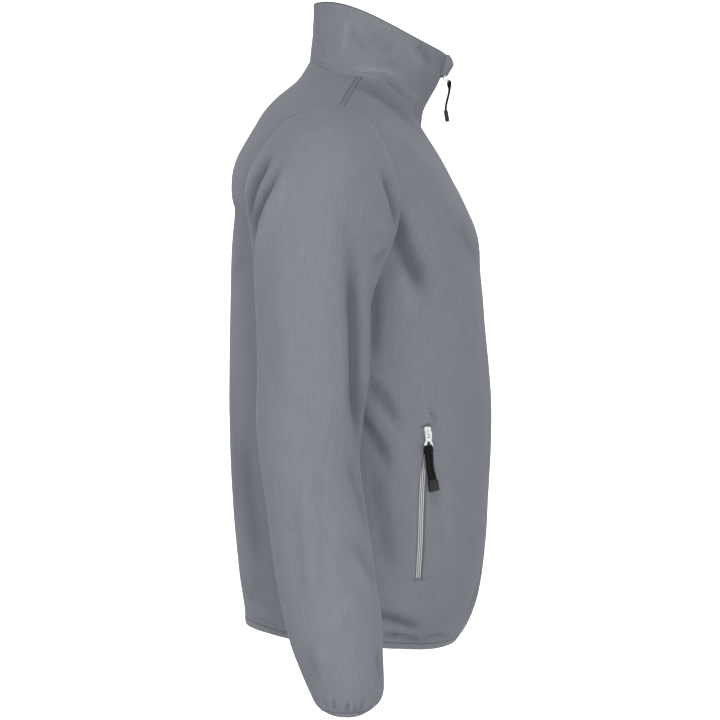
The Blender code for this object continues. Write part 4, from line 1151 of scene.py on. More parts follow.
        # Columns next to the opening run straight up beside the zip.
        rings[:, [0, -1], 0] = neckline[[0, -1], 0]
        fine = np.linspace(0, len(rings) - 1, self.collar_samples)
        up = walked(through(rings, fine))
        wanted = stations(up[-1], round(up[-1] / self.collar_spacing), self.steps, True, True)
        return through(rings, np.interp(wanted, up, fine))

    def guard(self, collar: Array) -> Array:
        """The arch over the zip's top that stands on the collar's face.

        Args:
            collar: The collar's grid.

        Returns:
            The grid, from its lower end up.
        """
        rows = through(GUARD_ROWS, np.linspace(0, len(GUARD_ROWS) - 1, self.guard_rows))
        heights, reach = collar[:, 0, 2], self.guard_half - self.guard_wall
        beside = collar[:, : self.foot_columns]
        turn = np.linspace(0, math.pi, self.guard_columns)
        rise = np.sin(turn)
        grid = []
        for foot_z, peak_z, peak_y in rows:
            feet = [np.interp(reach, np.abs(row[:, 0]), row[:, 1]) for row in beside]
            foot_y = np.interp(foot_z, heights, feet) - self.guard_clearance
            x = -self.guard_half * np.cos(turn)
            y = foot_y + (peak_y - foot_y) * rise
            grid.append(np.stack([x, y, foot_z + (peak_z - foot_z) * rise], axis=1))
        return np.array(grid)

    def lay_out(self) -> dict[str, ClothGrid]:
        """Every panel of the jacket, flat of creases.

        Returns:
            The panels by name.
        """
        flip = np.array((-1, 1, 1))
        front, hole = self.panel(True)
        half_back, _ = self.panel(False)
        half_back[:, 0, 0] = 0.0
        back = np.concatenate([half_back[:, :0:-1] * flip, half_back], axis=1)
        first = len(self.body_places()[0]) - 1
        armhole_front = front[first : first + self.front_arm_steps + 1, -1][::-1]
        armhole_back = half_back[first : first + self.back_arm_steps + 1, -1]
        sleeve = self.sleeve(np.vstack([armhole_front[:-1], armhole_back[:-1]]))
        neckline = np.vstack([front[-1] * flip, back[-1][1:-1], front[-1][::-1]])
        grids = {
            "front_right": ClothGrid("front_right", front * flip, hole=hole),
            "front_left": ClothGrid("front_left", front.copy(), hole=hole),
            "back": ClothGrid("back", back),
            "sleeve_right": ClothGrid("sleeve_right", sleeve * flip, closed=True),
            "sleeve_left": ClothGrid("sleeve_left", sleeve.copy(), closed=True),
            "collar": ClothGrid("collar", self.collar(neckline)),
        }
        ends = (Border.FIRST_ROW, Border.LAST_ROW)
        sewn = {
            "front_right": (*ends, Border.LAST_COLUMN),
            "front_left": (*ends, Border.LAST_COLUMN),
            "back": (*ends, Border.FIRST_COLUMN, Border.LAST_COLUMN),
            "sleeve_right": ends,
            "sleeve_left": ends,
            "collar": (Border.FIRST_ROW,),
        }
        share_seams(grids, sewn)
        return grids


class Gathers(NamedTuple):
    """Puckers above an elastic edge: how far apart, how deep and how far they reach."""

    pitch: float
    depth: float
    reach: float


@dataclass
class Drape:
    """Creases the panels, lets the cloth wander a little and gathers it at its elastic, and paints shade into
    troughs and light onto ridges.
    """

    hem_gathers: Gathers = Gathers(17.0, 0.4, 9.0)
    cuff_gathers: Gathers = Gathers(15.0, 0.8, 9.0)
    # painted shade in the puckers' troughs and painted light on their crests
    gather_shade: float = 2.4
    gather_start: float = 4.0
    # the puckers' pitch and strength change slowly along the edge: over how long and by how much
    pitch_run: float = 2.2
    pitch_swing: float = 5.0
    strength: float = 0.75
    strength_run: float = 60.0
    strength_swing: float = 0.6
    seam_depth: float = 0.11
    seam_width: float = 1.7
    # painted shading: the crease depth in mm that gives full painted shade, and the limits of painted light
    # and painted shade
    shade_depth: float = 5.0
    lightest: float = -0.5
    darkest: float = 1.2
    # painted shade above the elastic edges of the hem and cuffs, and how far in it reaches
    edge_shade: float = 0.75
    edge_reach: float = 1.9
    groove_place: float = 2.6
    groove_width: float = 0.75
    groove_depth: float = 1.0
    # painted shade in the shoulder's stitch groove
    groove_shade: float = 1.15
    swell_place: float = 1.1
    swell_width: float = 0.9
    swell_height: float = 0.45
    # painted light on the swell beside the seam
    swell_shade: float = 0.2
    shoulder_z: float = -62.0
    shoulder_fade: float = 8.0
    window_reach: float = 7.0
    sleeve_reach: float = 3.5
    fade: float = 0.3
    side_blend: float = 4.0
    end_share: float = 0.15
    facing_fade: float = 0.3
    wander: float = 0.75
    wander_length: float = 95.0
    ripple: float = 0.16
    ripple_length: float = 31.0
    far_side_share: float = 0.85
    far_side_shift: float = 5.0
    seed: int = 7

    def side_chart(self, points: Array) -> Array:
        """Places on the side chart, for points on either side of the body.

        Args:
            points: Points in millimetres.

        Returns:
            (forwards, down) of each point.
        """
        grow = CHART_DISTANCE / (CHART_DISTANCE - np.abs(points[..., 0])) / CHART_UNIT
        forwards = CHART_MIDDLE - points[..., 1] * grow
        down = CHART_MIDDLE + (CHART_LEVEL - points[..., 2]) * grow
        return np.stack([forwards, down], axis=-1)

    def shape(self, places: Array, crease: Crease) -> Array:
        """How much of a crease's depth falls on each place of its chart.

        Args:
            places: Places on the crease's chart.
            crease: The crease.

        Returns:
            A share from 0 to 1 for each place.
        """
        line = np.array(crease.line, float)
        lengths = walked(line)
        flat = places.reshape(-1, 2)
        nearest = np.full(len(flat), np.inf)
        value = np.zeros(len(flat))
        for start, end, begun in zip(line[:-1], line[1:], lengths[:-1]):
            run = end - start
            along = (flat - start) @ run / (run @ run)
            held = np.clip(along, 0, 1)
            offset = flat - start - held[:, None] * run
            distance = np.linalg.norm(offset, axis=1)
            side = run[0] * (flat - start)[:, 1] - run[1] * (flat - start)[:, 0]
            beyond = smooth(0.5 + side / (run @ run) ** 0.5 / self.side_blend)
            width = crease.near + (crease.far - crease.near) * beyond
            part = (begun + held * np.linalg.norm(run)) / lengths[-1]
            taper = smooth(part / self.fade) * smooth((1 - part) / self.fade)
            held_back = self.end_share + (1 - self.end_share) * taper
            profile = np.exp(-((distance / width) ** 2)) * held_back
            better = distance < nearest
            value = np.where(better, profile, value)
            nearest = np.minimum(nearest, distance)
        return value.reshape(places.shape[:-1])

    def creases(self, grid: ClothGrid, side: Side, creases: Iterable[Crease]) -> Array:
        """The push of a list of creases on one side of the body.

        Args:
            grid: The panel.
            side: The side of the body.
            creases: The creases there.

        Returns:
            Millimetres outwards for each point.
        """
        normals = grid.normals()
        push = np.zeros(grid.points.shape[:2])
        flip = np.array((-side.value, 1, 1))
        chart = {
            Chart.SIDE: (self.side_chart(grid.points), side.value * normals[..., 0]),
            Chart.BACK: ((grid.points * flip)[..., [0, 2]], normals[..., 1]),
            Chart.FRONT: ((grid.points * flip)[..., [0, 2]], -normals[..., 1]),
        }
        for crease in creases:
            places, facing = chart[crease.chart]
            push -= crease.depth * self.shape(places, crease) * smooth(facing / self.facing_fade)
        return push

    def varied(self, creases: Iterable[Crease], seed: int) -> list[Crease]:
        """The same creases, a little moved and softer, for the side that mirrors another.

        Args:
            creases: The creases.
            seed: What the changes are drawn from.

        Returns:
            The changed creases.
        """
        chance = np.random.default_rng(seed)
        changed = []
        for crease in creases:
            shift = chance.uniform(-1, 1, 2) * self.far_side_shift
            line = tuple((a + shift[0] * 0.5, b + shift[1]) for a, b in crease.line)
            depth = crease.depth * self.far_side_share * chance.uniform(0.8, 1.1)
            changed.append(crease._replace(line=line, depth=depth))
        return changed

    def wandering(self, grid: ClothGrid) -> Array:
        """Slow, slight unevenness of hanging cloth.

        Args:
            grid: The panel.

        Returns:
            Millimetres outwards for each point.
        """
        flat = grid.points.reshape(-1, 3)
        slow, quick = (
            np.array([noise.noise(Vector(p) / length) for p in flat.tolist()])
            for length in (self.wander_length, self.ripple_length)
        )
        return (slow * self.wander + quick * self.ripple).reshape(grid.points.shape[:2])

    def gather(self, grid: ClothGrid, which: Border, gathers: Gathers) -> Array:
        """Puckers above an elastic binding, uneven along it.

        Args:
            grid: The panel.
            which: The border with the elastic.
            gathers: The puckers' sizes.

        Returns:
            Millimetres outwards for each point.
        """
        pitch, depth, reach = gathers
        along = walked(grid.border(which, grid.points))
        runs = along / pitch / self.pitch_run
        waves = np.array([noise.noise(Vector((run, 3.1, self.seed))) for run in runs])
        phase = along / pitch * 2 * math.pi + waves * self.pitch_swing
        runs = along / self.strength_run
        swings = np.array([noise.noise(Vector((run, 9.7, 1.0))) for run in runs])
        strength = depth * (self.strength + self.strength_swing * swings)
        away = grid.from_border(which)
        begun = self.end_share + (1 - self.end_share) * smooth(away / self.gather_start)
        fall = np.exp(-away / reach) * begun
        return grid.spread_in(which, np.cos(phase) * strength) * fall

    def groove(self, grid: ClothGrid) -> None:
        """Draws the cloth down under the shoulder's stitches and lets it swell beside the seam, with painted
        shade in the groove and painted light on the swell.

        Args:
            grid: The panel.
        """
        push = np.zeros(grid.points.shape[:2])
        for which in grid.seams:
            if which not in (Border.FIRST_COLUMN, Border.LAST_COLUMN):
                continue
            away = grid.from_border(which)
            height = grid.border(which, grid.points)[:, 2]
            shoulder = smooth((height - self.shoulder_z) / self.shoulder_fade)[:, None]
            line = np.exp(-(((away - self.groove_place) / self.groove_width) ** 2)) * shoulder
            swell = np.exp(-(((away - self.swell_place) / self.swell_width) ** 2)) * shoulder
            push = push - line * self.groove_depth + swell * self.swell_height
            # Painted shade in the groove, painted light on the swell.
            grid.shade = grid.shade + line * self.groove_shade - swell * self.swell_shade
        grid.press(push)

    def dress(self, grids: dict[str, ClothGrid]) -> None:
        """Presses every crease into the panels and paints shade into their troughs and light onto their
        ridges.

        Args:
            grids: The panels by name.
        """
        fronts = FRONT_CREASES + YOKE_CREASES
        plans = {
            "front_right": [(Side.RIGHT, fronts)],
            "front_left": [(Side.LEFT, self.varied(fronts, self.seed))],
            "back": [
                (Side.RIGHT, (*BACK_CREASES, NOTCH)),
                (Side.LEFT, self.varied(BACK_CREASES, self.seed + 1)),
            ],
            "sleeve_right": [(Side.RIGHT, SLEEVE_CREASES)],
            "sleeve_left": [(Side.LEFT, self.varied(SLEEVE_CREASES, self.seed + 2))],
            "collar": [(Side.RIGHT, COLLAR_CREASES), (Side.LEFT, self.varied(COLLAR_CREASES, self.seed + 3))],
        }
        for name, plan in plans.items():
            grid = grids[name]
            folds = sum(self.creases(grid, side, creases) for side, creases in plan)
            sleeve = name.startswith("sleeve")
            elastic, kind = (
                (Border.LAST_ROW, self.cuff_gathers) if sleeve else (Border.FIRST_ROW, self.hem_gathers)
            )
            drawn = name != "collar"
            gathers = self.gather(grid, elastic, kind) if drawn else np.zeros_like(folds)
            held = grid.window(self.sleeve_reach if sleeve else self.window_reach)
            # Painted shade: troughs and gathers darken the colour and ridges lighten it, on top of the
            # geometry's own shading.
            shade = -(folds * held + self.gather_shade * gathers) / self.shade_depth
            grid.shade = np.clip(shade, self.lightest, self.darkest)
            # Painted shade in the crease just above the elastic.
            if drawn:
                grid.shade += self.edge_shade * np.exp(-((grid.from_border(elastic) / self.edge_reach) ** 2))
            grid.press((folds + self.wandering(grid)) * held + gathers)
            grid.sink_seams(self.seam_depth, self.seam_width)
            self.groove(grid)


# --- finishes ---------------------------------------------------------------------------------


class Graph:
    """Adds and joins the nodes of a material or of a node group."""

    def __init__(self, tree: bpy.types.NodeTree) -> None:
        """Starts on an empty tree."""
        self.tree = tree
        tree.nodes.clear()

    def add(self, kind: str, inputs: dict[str | int, object] | None = None, **settings: object) -> Node:
        """Adds a node.

        Args:
            kind: The node's type, without "ShaderNode".
            inputs: Values or sockets for its inputs, by name or number.
            settings: The node's own settings.

        Returns:
            The new node.
        """
        node = self.tree.nodes.new(kind if kind.startswith("Node") else f"ShaderNode{kind}")
        for name, value in settings.items():
            setattr(node, name, value)
        for name, value in (inputs or {}).items():
            if isinstance(value, Socket):
                self.tree.links.new(value, node.inputs[name])
            else:
                node.inputs[name].default_value = value
        return node

    def maths(self, operation: str, *values: float | Socket) -> Socket:
        """The result of a Math node."""
        return self.add("Math", dict(enumerate(values)), operation=operation).outputs[0]

    def ranged(self, value: Socket, low: float, high: float, to_low: float, to_high: float) -> Socket:
        """A value mapped from one range onto another and held there."""
        inputs = {0: value, 1: low, 2: high, 3: to_low, 4: to_high}
        return self.add("MapRange", inputs).outputs[0]

    def noise(self, place: Socket, scale: object, detail: float = 3.0, roughness: float = 0.6) -> Socket:
        """A noise value at a place."""
        inputs = {"Vector": place, "Scale": scale, "Detail": detail, "Roughness": roughness}
        return self.add("TexNoise", inputs).outputs[0]

    def mixed(self, factor: Socket, low: Colour, high: Colour) -> Socket:
        """A colour between two, by a mask.

        Args:
            factor: The mask.
            low: The colour where it is 0.
            high: The colour where it is 1.

        Returns:
            The colour.
        """
        node = self.add("Mix", {0: factor}, data_type="RGBA")
        node.inputs[6].default_value = (*low, 1.0)
        node.inputs[7].default_value = (*high, 1.0)
        return node.outputs[2]


def scaled(colour: Colour, by: float) -> Colour:
    """A lighter or darker colour."""
    return tuple(min(channel * by, 1.0) for channel in colour)


def effect(
    name: str, inputs: dict[str, float | None], outputs: Sequence[str], fill: Callable
) -> bpy.types.NodeTree:
    """Makes a shader node group.

    Args:
        name: The group's name.
        inputs: Its inputs and their values; None makes a vector.
        outputs: Its value outputs.
        fill: Called with the graph and the inputs' sockets; returns a socket for each output.

    Returns:
        The group.
    """
    group = bpy.data.node_groups.new(name, "ShaderNodeTree")
    for title, value in inputs.items():
        kind = "NodeSocketVector" if value is None else "NodeSocketFloat"
        socket = group.interface.new_socket(title, in_out="INPUT", socket_type=kind)
        if value is not None:
            socket.default_value = value
    for title in outputs:
        group.interface.new_socket(title, in_out="OUTPUT", socket_type="NodeSocketFloat")
    graph = Graph(group)
    source = graph.add("NodeGroupInput")
    results = fill(graph, source.outputs)
    graph.add("NodeGroupOutput", dict(zip(outputs, results)))
    return group


def nap(graph: Graph, given: bpy.types.bpy_prop_collection) -> tuple:
    """Brushed pile: fine tufts, slow blotches and faint streaks along the knit.

    Args:
        graph: The group's graph.
        given: Its inputs.

    Returns:
        A shade and a height.
    """
    tufts = graph.noise(given["Place"], given["Tufts"], 4.0, 0.7)
    blotches = graph.noise(given["Place"], given["Blotches"], 2.0, 0.5)
    stretched = graph.add(
        "VectorMath", {0: given["Along"], 1: (1.0, 0.07, 1.0)}, operation="MULTIPLY"
    ).outputs[0]
    streaks = graph.noise(stretched, given["Streaks"], 3.0, 0.6)
    shade = graph.maths("MULTIPLY_ADD", tufts, 0.6, graph.maths("MULTIPLY", blotches, 0.1))
    shade = graph.maths("MULTIPLY_ADD", streaks, 0.2, shade)
    height = graph.maths("MULTIPLY_ADD", streaks, 0.2, tufts)
    return graph.ranged(shade, 0.3, 0.66, 0.0, 1.0), height


def ribs(graph: Graph, given: bpy.types.bpy_prop_collection) -> tuple:
    """Yarns laid side by side across one way of the cloth, each broken into stitches.

    Args:
        graph: The group's graph.
        given: Its inputs.

    Returns:
        A shade and a height.
    """
    split = graph.add("SeparateXYZ", {0: given["Along"]})
    across = graph.maths("MULTIPLY", split.outputs[0], given["Ribs"])
    down = graph.maths("MULTIPLY", split.outputs[1], given["Stitches"])
    rib = graph.maths("ABSOLUTE", graph.maths("SINE", graph.maths("MULTIPLY", across, math.pi)))
    lean = graph.maths("MULTIPLY_ADD", rib, 0.8, down)
    stitch = graph.maths("ABSOLUTE", graph.maths("SINE", graph.maths("MULTIPLY", lean, math.pi)))
    woven = graph.maths("MULTIPLY", graph.maths("MULTIPLY_ADD", stitch, 0.55, 0.45), rib)
    uneven = graph.noise(given["Along"], 260.0, 2.0, 0.5)
    shade = graph.maths("MULTIPLY_ADD", uneven, 0.35, graph.maths("MULTIPLY", woven, 0.75))
    return graph.ranged(shade, 0.0, 1.0, 0.0, 1.0), woven


def wear(graph: Graph, given: bpy.types.bpy_prop_collection) -> tuple:
    """Fine scratches and handling marks on a hard surface.

    Args:
        graph: The group's graph.
        given: Its inputs.

    Returns:
        A mask of the marks and a height.
    """
    cloudy = graph.noise(given["Place"], given["Marks"], 3.0, 0.6)
    stretched = graph.add(
        "VectorMath", {0: given["Place"], 1: (1.0, 6.0, 0.4)}, operation="MULTIPLY"
    ).outputs[0]
    scratches = graph.ranged(graph.noise(stretched, 2600.0, 2.0, 0.5), 0.56, 0.68, 0.0, 1.0)
    marks = graph.maths("MULTIPLY_ADD", scratches, 0.35, graph.ranged(cloudy, 0.35, 0.7, 0.0, 0.65))
    return graph.ranged(marks, 0.0, 1.0, 0.0, 1.0), cloudy


class Effects:
    """The node groups that several finishes share."""

    def __init__(self) -> None:
        """Builds each group once."""
        places = {"Place": None, "Along": None}
        piles = {**places, "Tufts": 900.0, "Blotches": 45.0, "Streaks": 420.0}
        yarns = {"Along": None, "Ribs": 900.0, "Stitches": 700.0}
        self.nap = effect("nap", piles, ("Shade", "Height"), nap)
        self.ribs = effect("ribs", yarns, ("Shade", "Height"), ribs)
        self.wear = effect("wear", {"Place": None, "Marks": 300.0}, ("Marks", "Height"), wear)


@dataclass(frozen=True)
class Finish:
    """What every finish has: a name, a colour and how rough it is."""

    name: str
    colour: Colour
    roughness: float = 0.9

    def start(self) -> tuple[Material, Graph, Node]:
        """Starts the material, with its shader joined to the output.

        Returns:
            The material, its graph and its shader.
        """
        material = bpy.data.materials.new(self.name)
        material.use_nodes = True
        graph = Graph(material.node_tree)
        shader = graph.add("BsdfPrincipled", {"Base Color": (*self.colour, 1.0), "Roughness": self.roughness})
        graph.add("OutputMaterial", {"Surface": shader.outputs[0]})
        return material, graph, shader

    def bump(self, graph: Graph, shader: Node, height: Socket, depth: float, strength: float) -> None:
        """Joins a height to the shader's normal; depth is in millimetres."""
        node = graph.add("Bump", {"Height": height, "Distance": depth * MM, "Strength": strength})
        graph.tree.links.new(node.outputs[0], shader.inputs["Normal"])


@dataclass(frozen=True)
class NapFinish(Finish):
    """Brushed fleece, its colour darkened by painted shade and lightened by painted light from a point
    attribute.
    """

    spread: float = 0.17
    tufts: float = 620.0
    streaks: float = 330.0
    sheen: float = 0.1
    depth: float = 0.5
    # how much darker each channel is painted where the painted shade attribute says 1
    fold_shade: Colour = (0.362, 0.346, 0.322)

    def make(self, effects: Effects) -> Material:
        """Builds the material.

        Args:
            effects: The shared groups.

        Returns:
            The material.
        """
        material, graph, shader = self.start()
        place = graph.add("TexCoord").outputs["Object"]
        along = graph.add("UVMap", uv_map="cloth").outputs[0]
        counts = {"Place": place, "Along": along, "Tufts": self.tufts, "Streaks": self.streaks}
        pile = graph.add("Group", counts, node_tree=effects.nap)
        low, high = scaled(self.colour, 1 - self.spread), scaled(self.colour, 1 + self.spread)
        brushed = graph.mixed(pile.outputs["Shade"], low, high)
        # Painted shade: the attribute darkens the colour in troughs, at seams and above the elastic, and
        # paints ridges lighter.
        fold = graph.add("Attribute", attribute_name="fold").outputs["Fac"]
        darker = {0: fold, 1: scaled(self.fold_shade, -1.0), 2: WHITE}
        painted_shade_factor = graph.add("VectorMath", darker, operation="MULTIPLY_ADD").outputs[0]
        colour = graph.add("VectorMath", {0: brushed, 1: painted_shade_factor}, operation="MULTIPLY").outputs[0]
        graph.tree.links.new(colour, shader.inputs["Base Color"])
        shader.inputs["Sheen Weight"].default_value = self.sheen
        shader.inputs["Sheen Roughness"].default_value = 0.45
        shader.inputs["Sheen Tint"].default_value = (0.75, 0.79, 0.86, 1.0)
        shader.inputs["Specular IOR Level"].default_value = 0.15
        self.bump(graph, shader, pile.outputs["Height"], self.depth, 0.55)
        return material


@dataclass(frozen=True)
class RibFinish(Finish):
    """Knitted or woven trim whose yarns follow the piece."""

    ribs: float = 900.0
    stitches: float = 700.0
    spread: float = 0.16
    depth: float = 0.2
    sheen: float = 0.1
    metallic: float = 0.0
    gloss: float = 0.2

    def make(self, effects: Effects) -> Material:
        """Builds the material.

        Args:
            effects: The shared groups.

        Returns:
            The material.
        """
        material, graph, shader = self.start()
        along = graph.add("UVMap", uv_map="cloth").outputs[0]
        counts = {"Along": along, "Ribs": self.ribs, "Stitches": self.stitches}
        yarn = graph.add("Group", counts, node_tree=effects.ribs)
        low, high = scaled(self.colour, 1 - self.spread), scaled(self.colour, 1 + self.spread)
        graph.tree.links.new(graph.mixed(yarn.outputs["Shade"], low, high), shader.inputs["Base Color"])
        shader.inputs["Sheen Weight"].default_value = self.sheen
        shader.inputs["Metallic"].default_value = self.metallic
        shader.inputs["Specular IOR Level"].default_value = self.gloss
        self.bump(graph, shader, yarn.outputs["Height"], self.depth, 0.6)
        return material


@dataclass(frozen=True)
class HardFinish(Finish):
    """Lacquered metal or moulded plastic, marked by handling."""

    metallic: float = 0.0
    marked: float = 0.85
    rougher: float = 0.15
    marks: float = 420.0
    depth: float = 0.03

    def make(self, effects: Effects) -> Material:
        """Builds the material.

        Args:
            effects: The shared groups.

        Returns:
            The material.
        """
        material, graph, shader = self.start()
        place = graph.add("TexCoord").outputs["Object"]
        worn = graph.add("Group", {"Place": place, "Marks": self.marks}, node_tree=effects.wear)
        colour = graph.mixed(worn.outputs["Marks"], self.colour, scaled(self.colour, self.marked))
        graph.tree.links.new(colour, shader.inputs["Base Color"])
        rough = graph.ranged(worn.outputs["Marks"], 0.0, 1.0, self.roughness, self.roughness + self.rougher)
        graph.tree.links.new(rough, shader.inputs["Roughness"])
        shader.inputs["Metallic"].default_value = self.metallic
        self.bump(graph, shader, worn.outputs["Height"], self.depth, 0.5)
        return material


FINISHES: dict[str, Finish] = {
    "fleece": NapFinish("fleece", (0.215, 0.226, 0.253), 0.95),
    "binding": RibFinish("binding", (0.205, 0.212, 0.235), 0.8, ribs=750, stitches=520, depth=0.2),
    "tape": RibFinish("zip_tape", (0.16, 0.165, 0.18), 0.8, ribs=1100, stitches=900),
    "coil": RibFinish(
        "zip_coil", (0.72, 0.72, 0.725), 0.42, ribs=1000, stitches=800, depth=0.12, metallic=0.25, gloss=0.5
    ),
    "metal": HardFinish("zip_metal", (0.9, 0.9, 0.9), 0.36, metallic=0.1),
    "cord": RibFinish(
        "pull_cord", (0.006, 0.006, 0.0065), 0.75, ribs=1500, stitches=900, depth=0.3, spread=0.6, gloss=0.12
    ),
    "end": HardFinish("pull_end", (0.015, 0.0155, 0.0148), 0.6, marked=1.25, marks=700, depth=0.08),
    "thread": RibFinish("thread", (0.19, 0.2, 0.228), 0.6, ribs=3000, stitches=1800, depth=0.05, gloss=0.35),
}


# --- the studio -------------------------------------------------------------------------------


class Lamp(NamedTuple):
    """A soft light: how far it is turned from the camera's side towards the jacket's back."""

    name: str
    turn: float
    height: float
    size: float
    power: float


@dataclass
class Studio:
    """The camera, the soft lights, the pale floor and the sweep behind it."""

    camera_place: tuple[float, float, float] = (-2.7, 0.0, -0.3384)
    lens: float = 112.5
    sensor: float = 36.0
    lamps: tuple[Lamp, ...] = (
        Lamp("main", -15.0, 0.2, 1.2, 28.0),
        Lamp("front", -65.0, 0.2, 1.2, 8.4),
        Lamp("side", 35.0, 0.2, 1.2, 7.0),
        Lamp("back", 60.0, 0.2, 1.2, 15.5),
        Lamp("top", 5.0, 5.0, 1.6, 136.0),
    )
    lamp_reach: float = 3.0
    sky: float = 0.2
    floor_z: float = -1.25
    sweep_start: float = 3.0
    sweep_round: float = 2.0
    sweep_top: float = 5.0
    sweep_steps: int = 12
    half_width: float = 9.0
    floor_greys: tuple[float, float] = (0.79, 0.81)
    glow: float = 1.15
    # how far before the sweep the glow starts, and where it is full
    glow_run: tuple[float, float] = (1.0, 0.4)

    def build(self) -> None:
        """Sets the camera, world, lights and floor."""
        scene = bpy.context.scene
        camera = bpy.data.objects.new("camera", bpy.data.cameras.new("camera"))
        camera.data.lens = self.lens
        camera.data.sensor_width = self.sensor
        camera.location = self.camera_place
        camera.rotation_euler = (math.pi / 2, 0.0, -math.pi / 2)
        scene.collection.objects.link(camera)
        scene.camera = camera
        scene.view_settings.view_transform = "Standard"
        world = bpy.data.worlds.new("studio")
        world.use_nodes = True
        sky = world.node_tree.nodes["Background"].inputs
        sky["Color"].default_value = (*WHITE, 1.0)
        sky["Strength"].default_value = self.sky
        scene.world = world
        for lamp in self.lamps:
            self.hang_lamp(lamp)
        self.floor()

    def hang_lamp(self, lamp: Lamp) -> None:
        """Adds a square soft light that points at the jacket's middle.

        Args:
            lamp: Its place, size and power.
        """
        data = bpy.data.lights.new(lamp.name, "AREA")
        data.size = lamp.size
        data.energy = lamp.power
        light = bpy.data.objects.new(lamp.name, data)
        turn = math.radians(lamp.turn)
        middle = Vector((0.0, 0.0, self.camera_place[2]))
        away = Vector((-math.cos(turn) * self.lamp_reach, math.sin(turn) * self.lamp_reach, lamp.height))
        light.location = middle + away
        light.rotation_euler = (-away).to_track_quat("-Z", "Y").to_euler()
        bpy.context.scene.collection.objects.link(light)

    def floor(self) -> None:
        """Lays the pale floor well below the jacket and sweeps it up behind, where it is lit."""
        material = bpy.data.materials.new("floor")
        material.use_nodes = True
        graph = Graph(material.node_tree)
        place = graph.add("TexCoord").outputs["Object"]
        shade = graph.ranged(graph.noise(place, 1.5, 2.0), 0.3, 0.7, 0.0, 1.0)
        distance = graph.add("SeparateXYZ", {0: place}).outputs[0]
        starts, full = (self.sweep_start - run for run in self.glow_run)
        glow = graph.ranged(distance, starts, full, 0.0, self.glow)
        shader = graph.add("BsdfPrincipled", {"Roughness": 0.95, "Emission Strength": 1.0})
        greys = ((grey, grey, grey) for grey in self.floor_greys)
        graph.tree.links.new(graph.mixed(shade, *greys), shader.inputs["Base Color"])
        graph.tree.links.new(glow, shader.inputs["Emission Color"])
        graph.add("OutputMaterial", {"Surface": shader.outputs[0]})
        profile = [(-self.half_width, self.floor_z)]
        for angle in np.linspace(0, math.pi / 2, self.sweep_steps):
            x = self.sweep_start + self.sweep_round * math.sin(angle)
            profile.append((x, self.floor_z + self.sweep_round * (1 - math.cos(angle))))
        profile.append((profile[-1][0], self.sweep_top))
        points = [(x / MM, y / MM, z / MM) for y in (-self.half_width, self.half_width) for x, z in profile]
        count = len(profile)
        faces = [(i, i + 1, count + i + 1, count + i) for i in range(count - 1)]
        new_piece("floor", np.array(points), [face[::-1] for face in faces], material)


# --- sewing -----------------------------------------------------------------------------------


# (place along it, thickness, rise off the cloth) of a stitch, as shares of its length and radius
STITCH = ((-0.5, 0.25, -0.9), (-0.28, 0.8, -0.1), (0.0, 1.0, 0.25), (0.28, 0.8, -0.1), (0.5, 0.25, -0.9))


@dataclass
class Needle:
    """Sews lines of stitches on the cloth's face."""

    material: Material
    pitch: float = 3.0
    length: float = 2.5
    radius: float = 0.3
    sides: int = 5

    def stitches(self, points: Array, normals: Array) -> tuple[Array, Array]:
        """A line of stitches along a line on the cloth's face.

        Args:
            points: The line's points.
            normals: The way out at each.

        Returns:
            Points, and four point numbers for each face.
        """
        here = walked(points)
        total = here[-1]
        count = max(int(total / self.pitch), 1)
        middles = (np.arange(count) + 0.5) * total / count
        rings, sizes, rises = np.array(STITCH).T
        places = (middles[:, None] + rings * self.length).clip(0, total)
        line, out = read_at(points, here, places), unit(read_at(normals, here, places))
        run = unit(line[:, -1:] - line[:, :1])
        side = unit(np.cross(np.broadcast_to(run, out.shape), out))
        turn = np.linspace(0, 2 * math.pi, self.sides, endpoint=False)
        spoke = side[:, :, None] * np.cos(turn)[:, None] + out[:, :, None] * np.sin(turn)[:, None]
        centre = line + out * (rises * self.radius)[:, None]
        made = centre[:, :, None] + spoke * (sizes * self.radius)[:, None, None]
        each = len(rings) * self.sides
        cells = lattice(len(rings), self.sides, True)
        index = cells[..., 0] * self.sides + cells[..., 1] % self.sides
        faces = (index[None] + (np.arange(count) * each)[:, None, None]).reshape(-1, 4)
        return made.reshape(-1, 3), faces

    def sew(self, name: str, *lines: tuple[Array, Array]) -> None:
        """Makes one piece of several lines of stitches and lets it ride on the jacket.

        Args:
            name: The piece's name.
            lines: The points and normals of each line.
        """
        points, faces, begun = [], [], 0
        for line, normals in lines:
            made, index = self.stitches(line, normals)
            points.append(made)
            faces.append(index + begun)
            begun += len(made)
        cells = np.vstack(faces)
        uv = np.tile(np.array([(0, 0), (MM, 0), (MM, MM), (0, MM)]), (len(cells), 1))
        piece = new_piece(name, np.vstack(points), cells.tolist(), self.material, uv, 180.0)
        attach(piece, "jacket")
        LOG.info("%s: %d stitches", name, len(cells) // ((len(STITCH) - 1) * self.sides))


# --- the jacket's assemblies ------------------------------------------------------------------


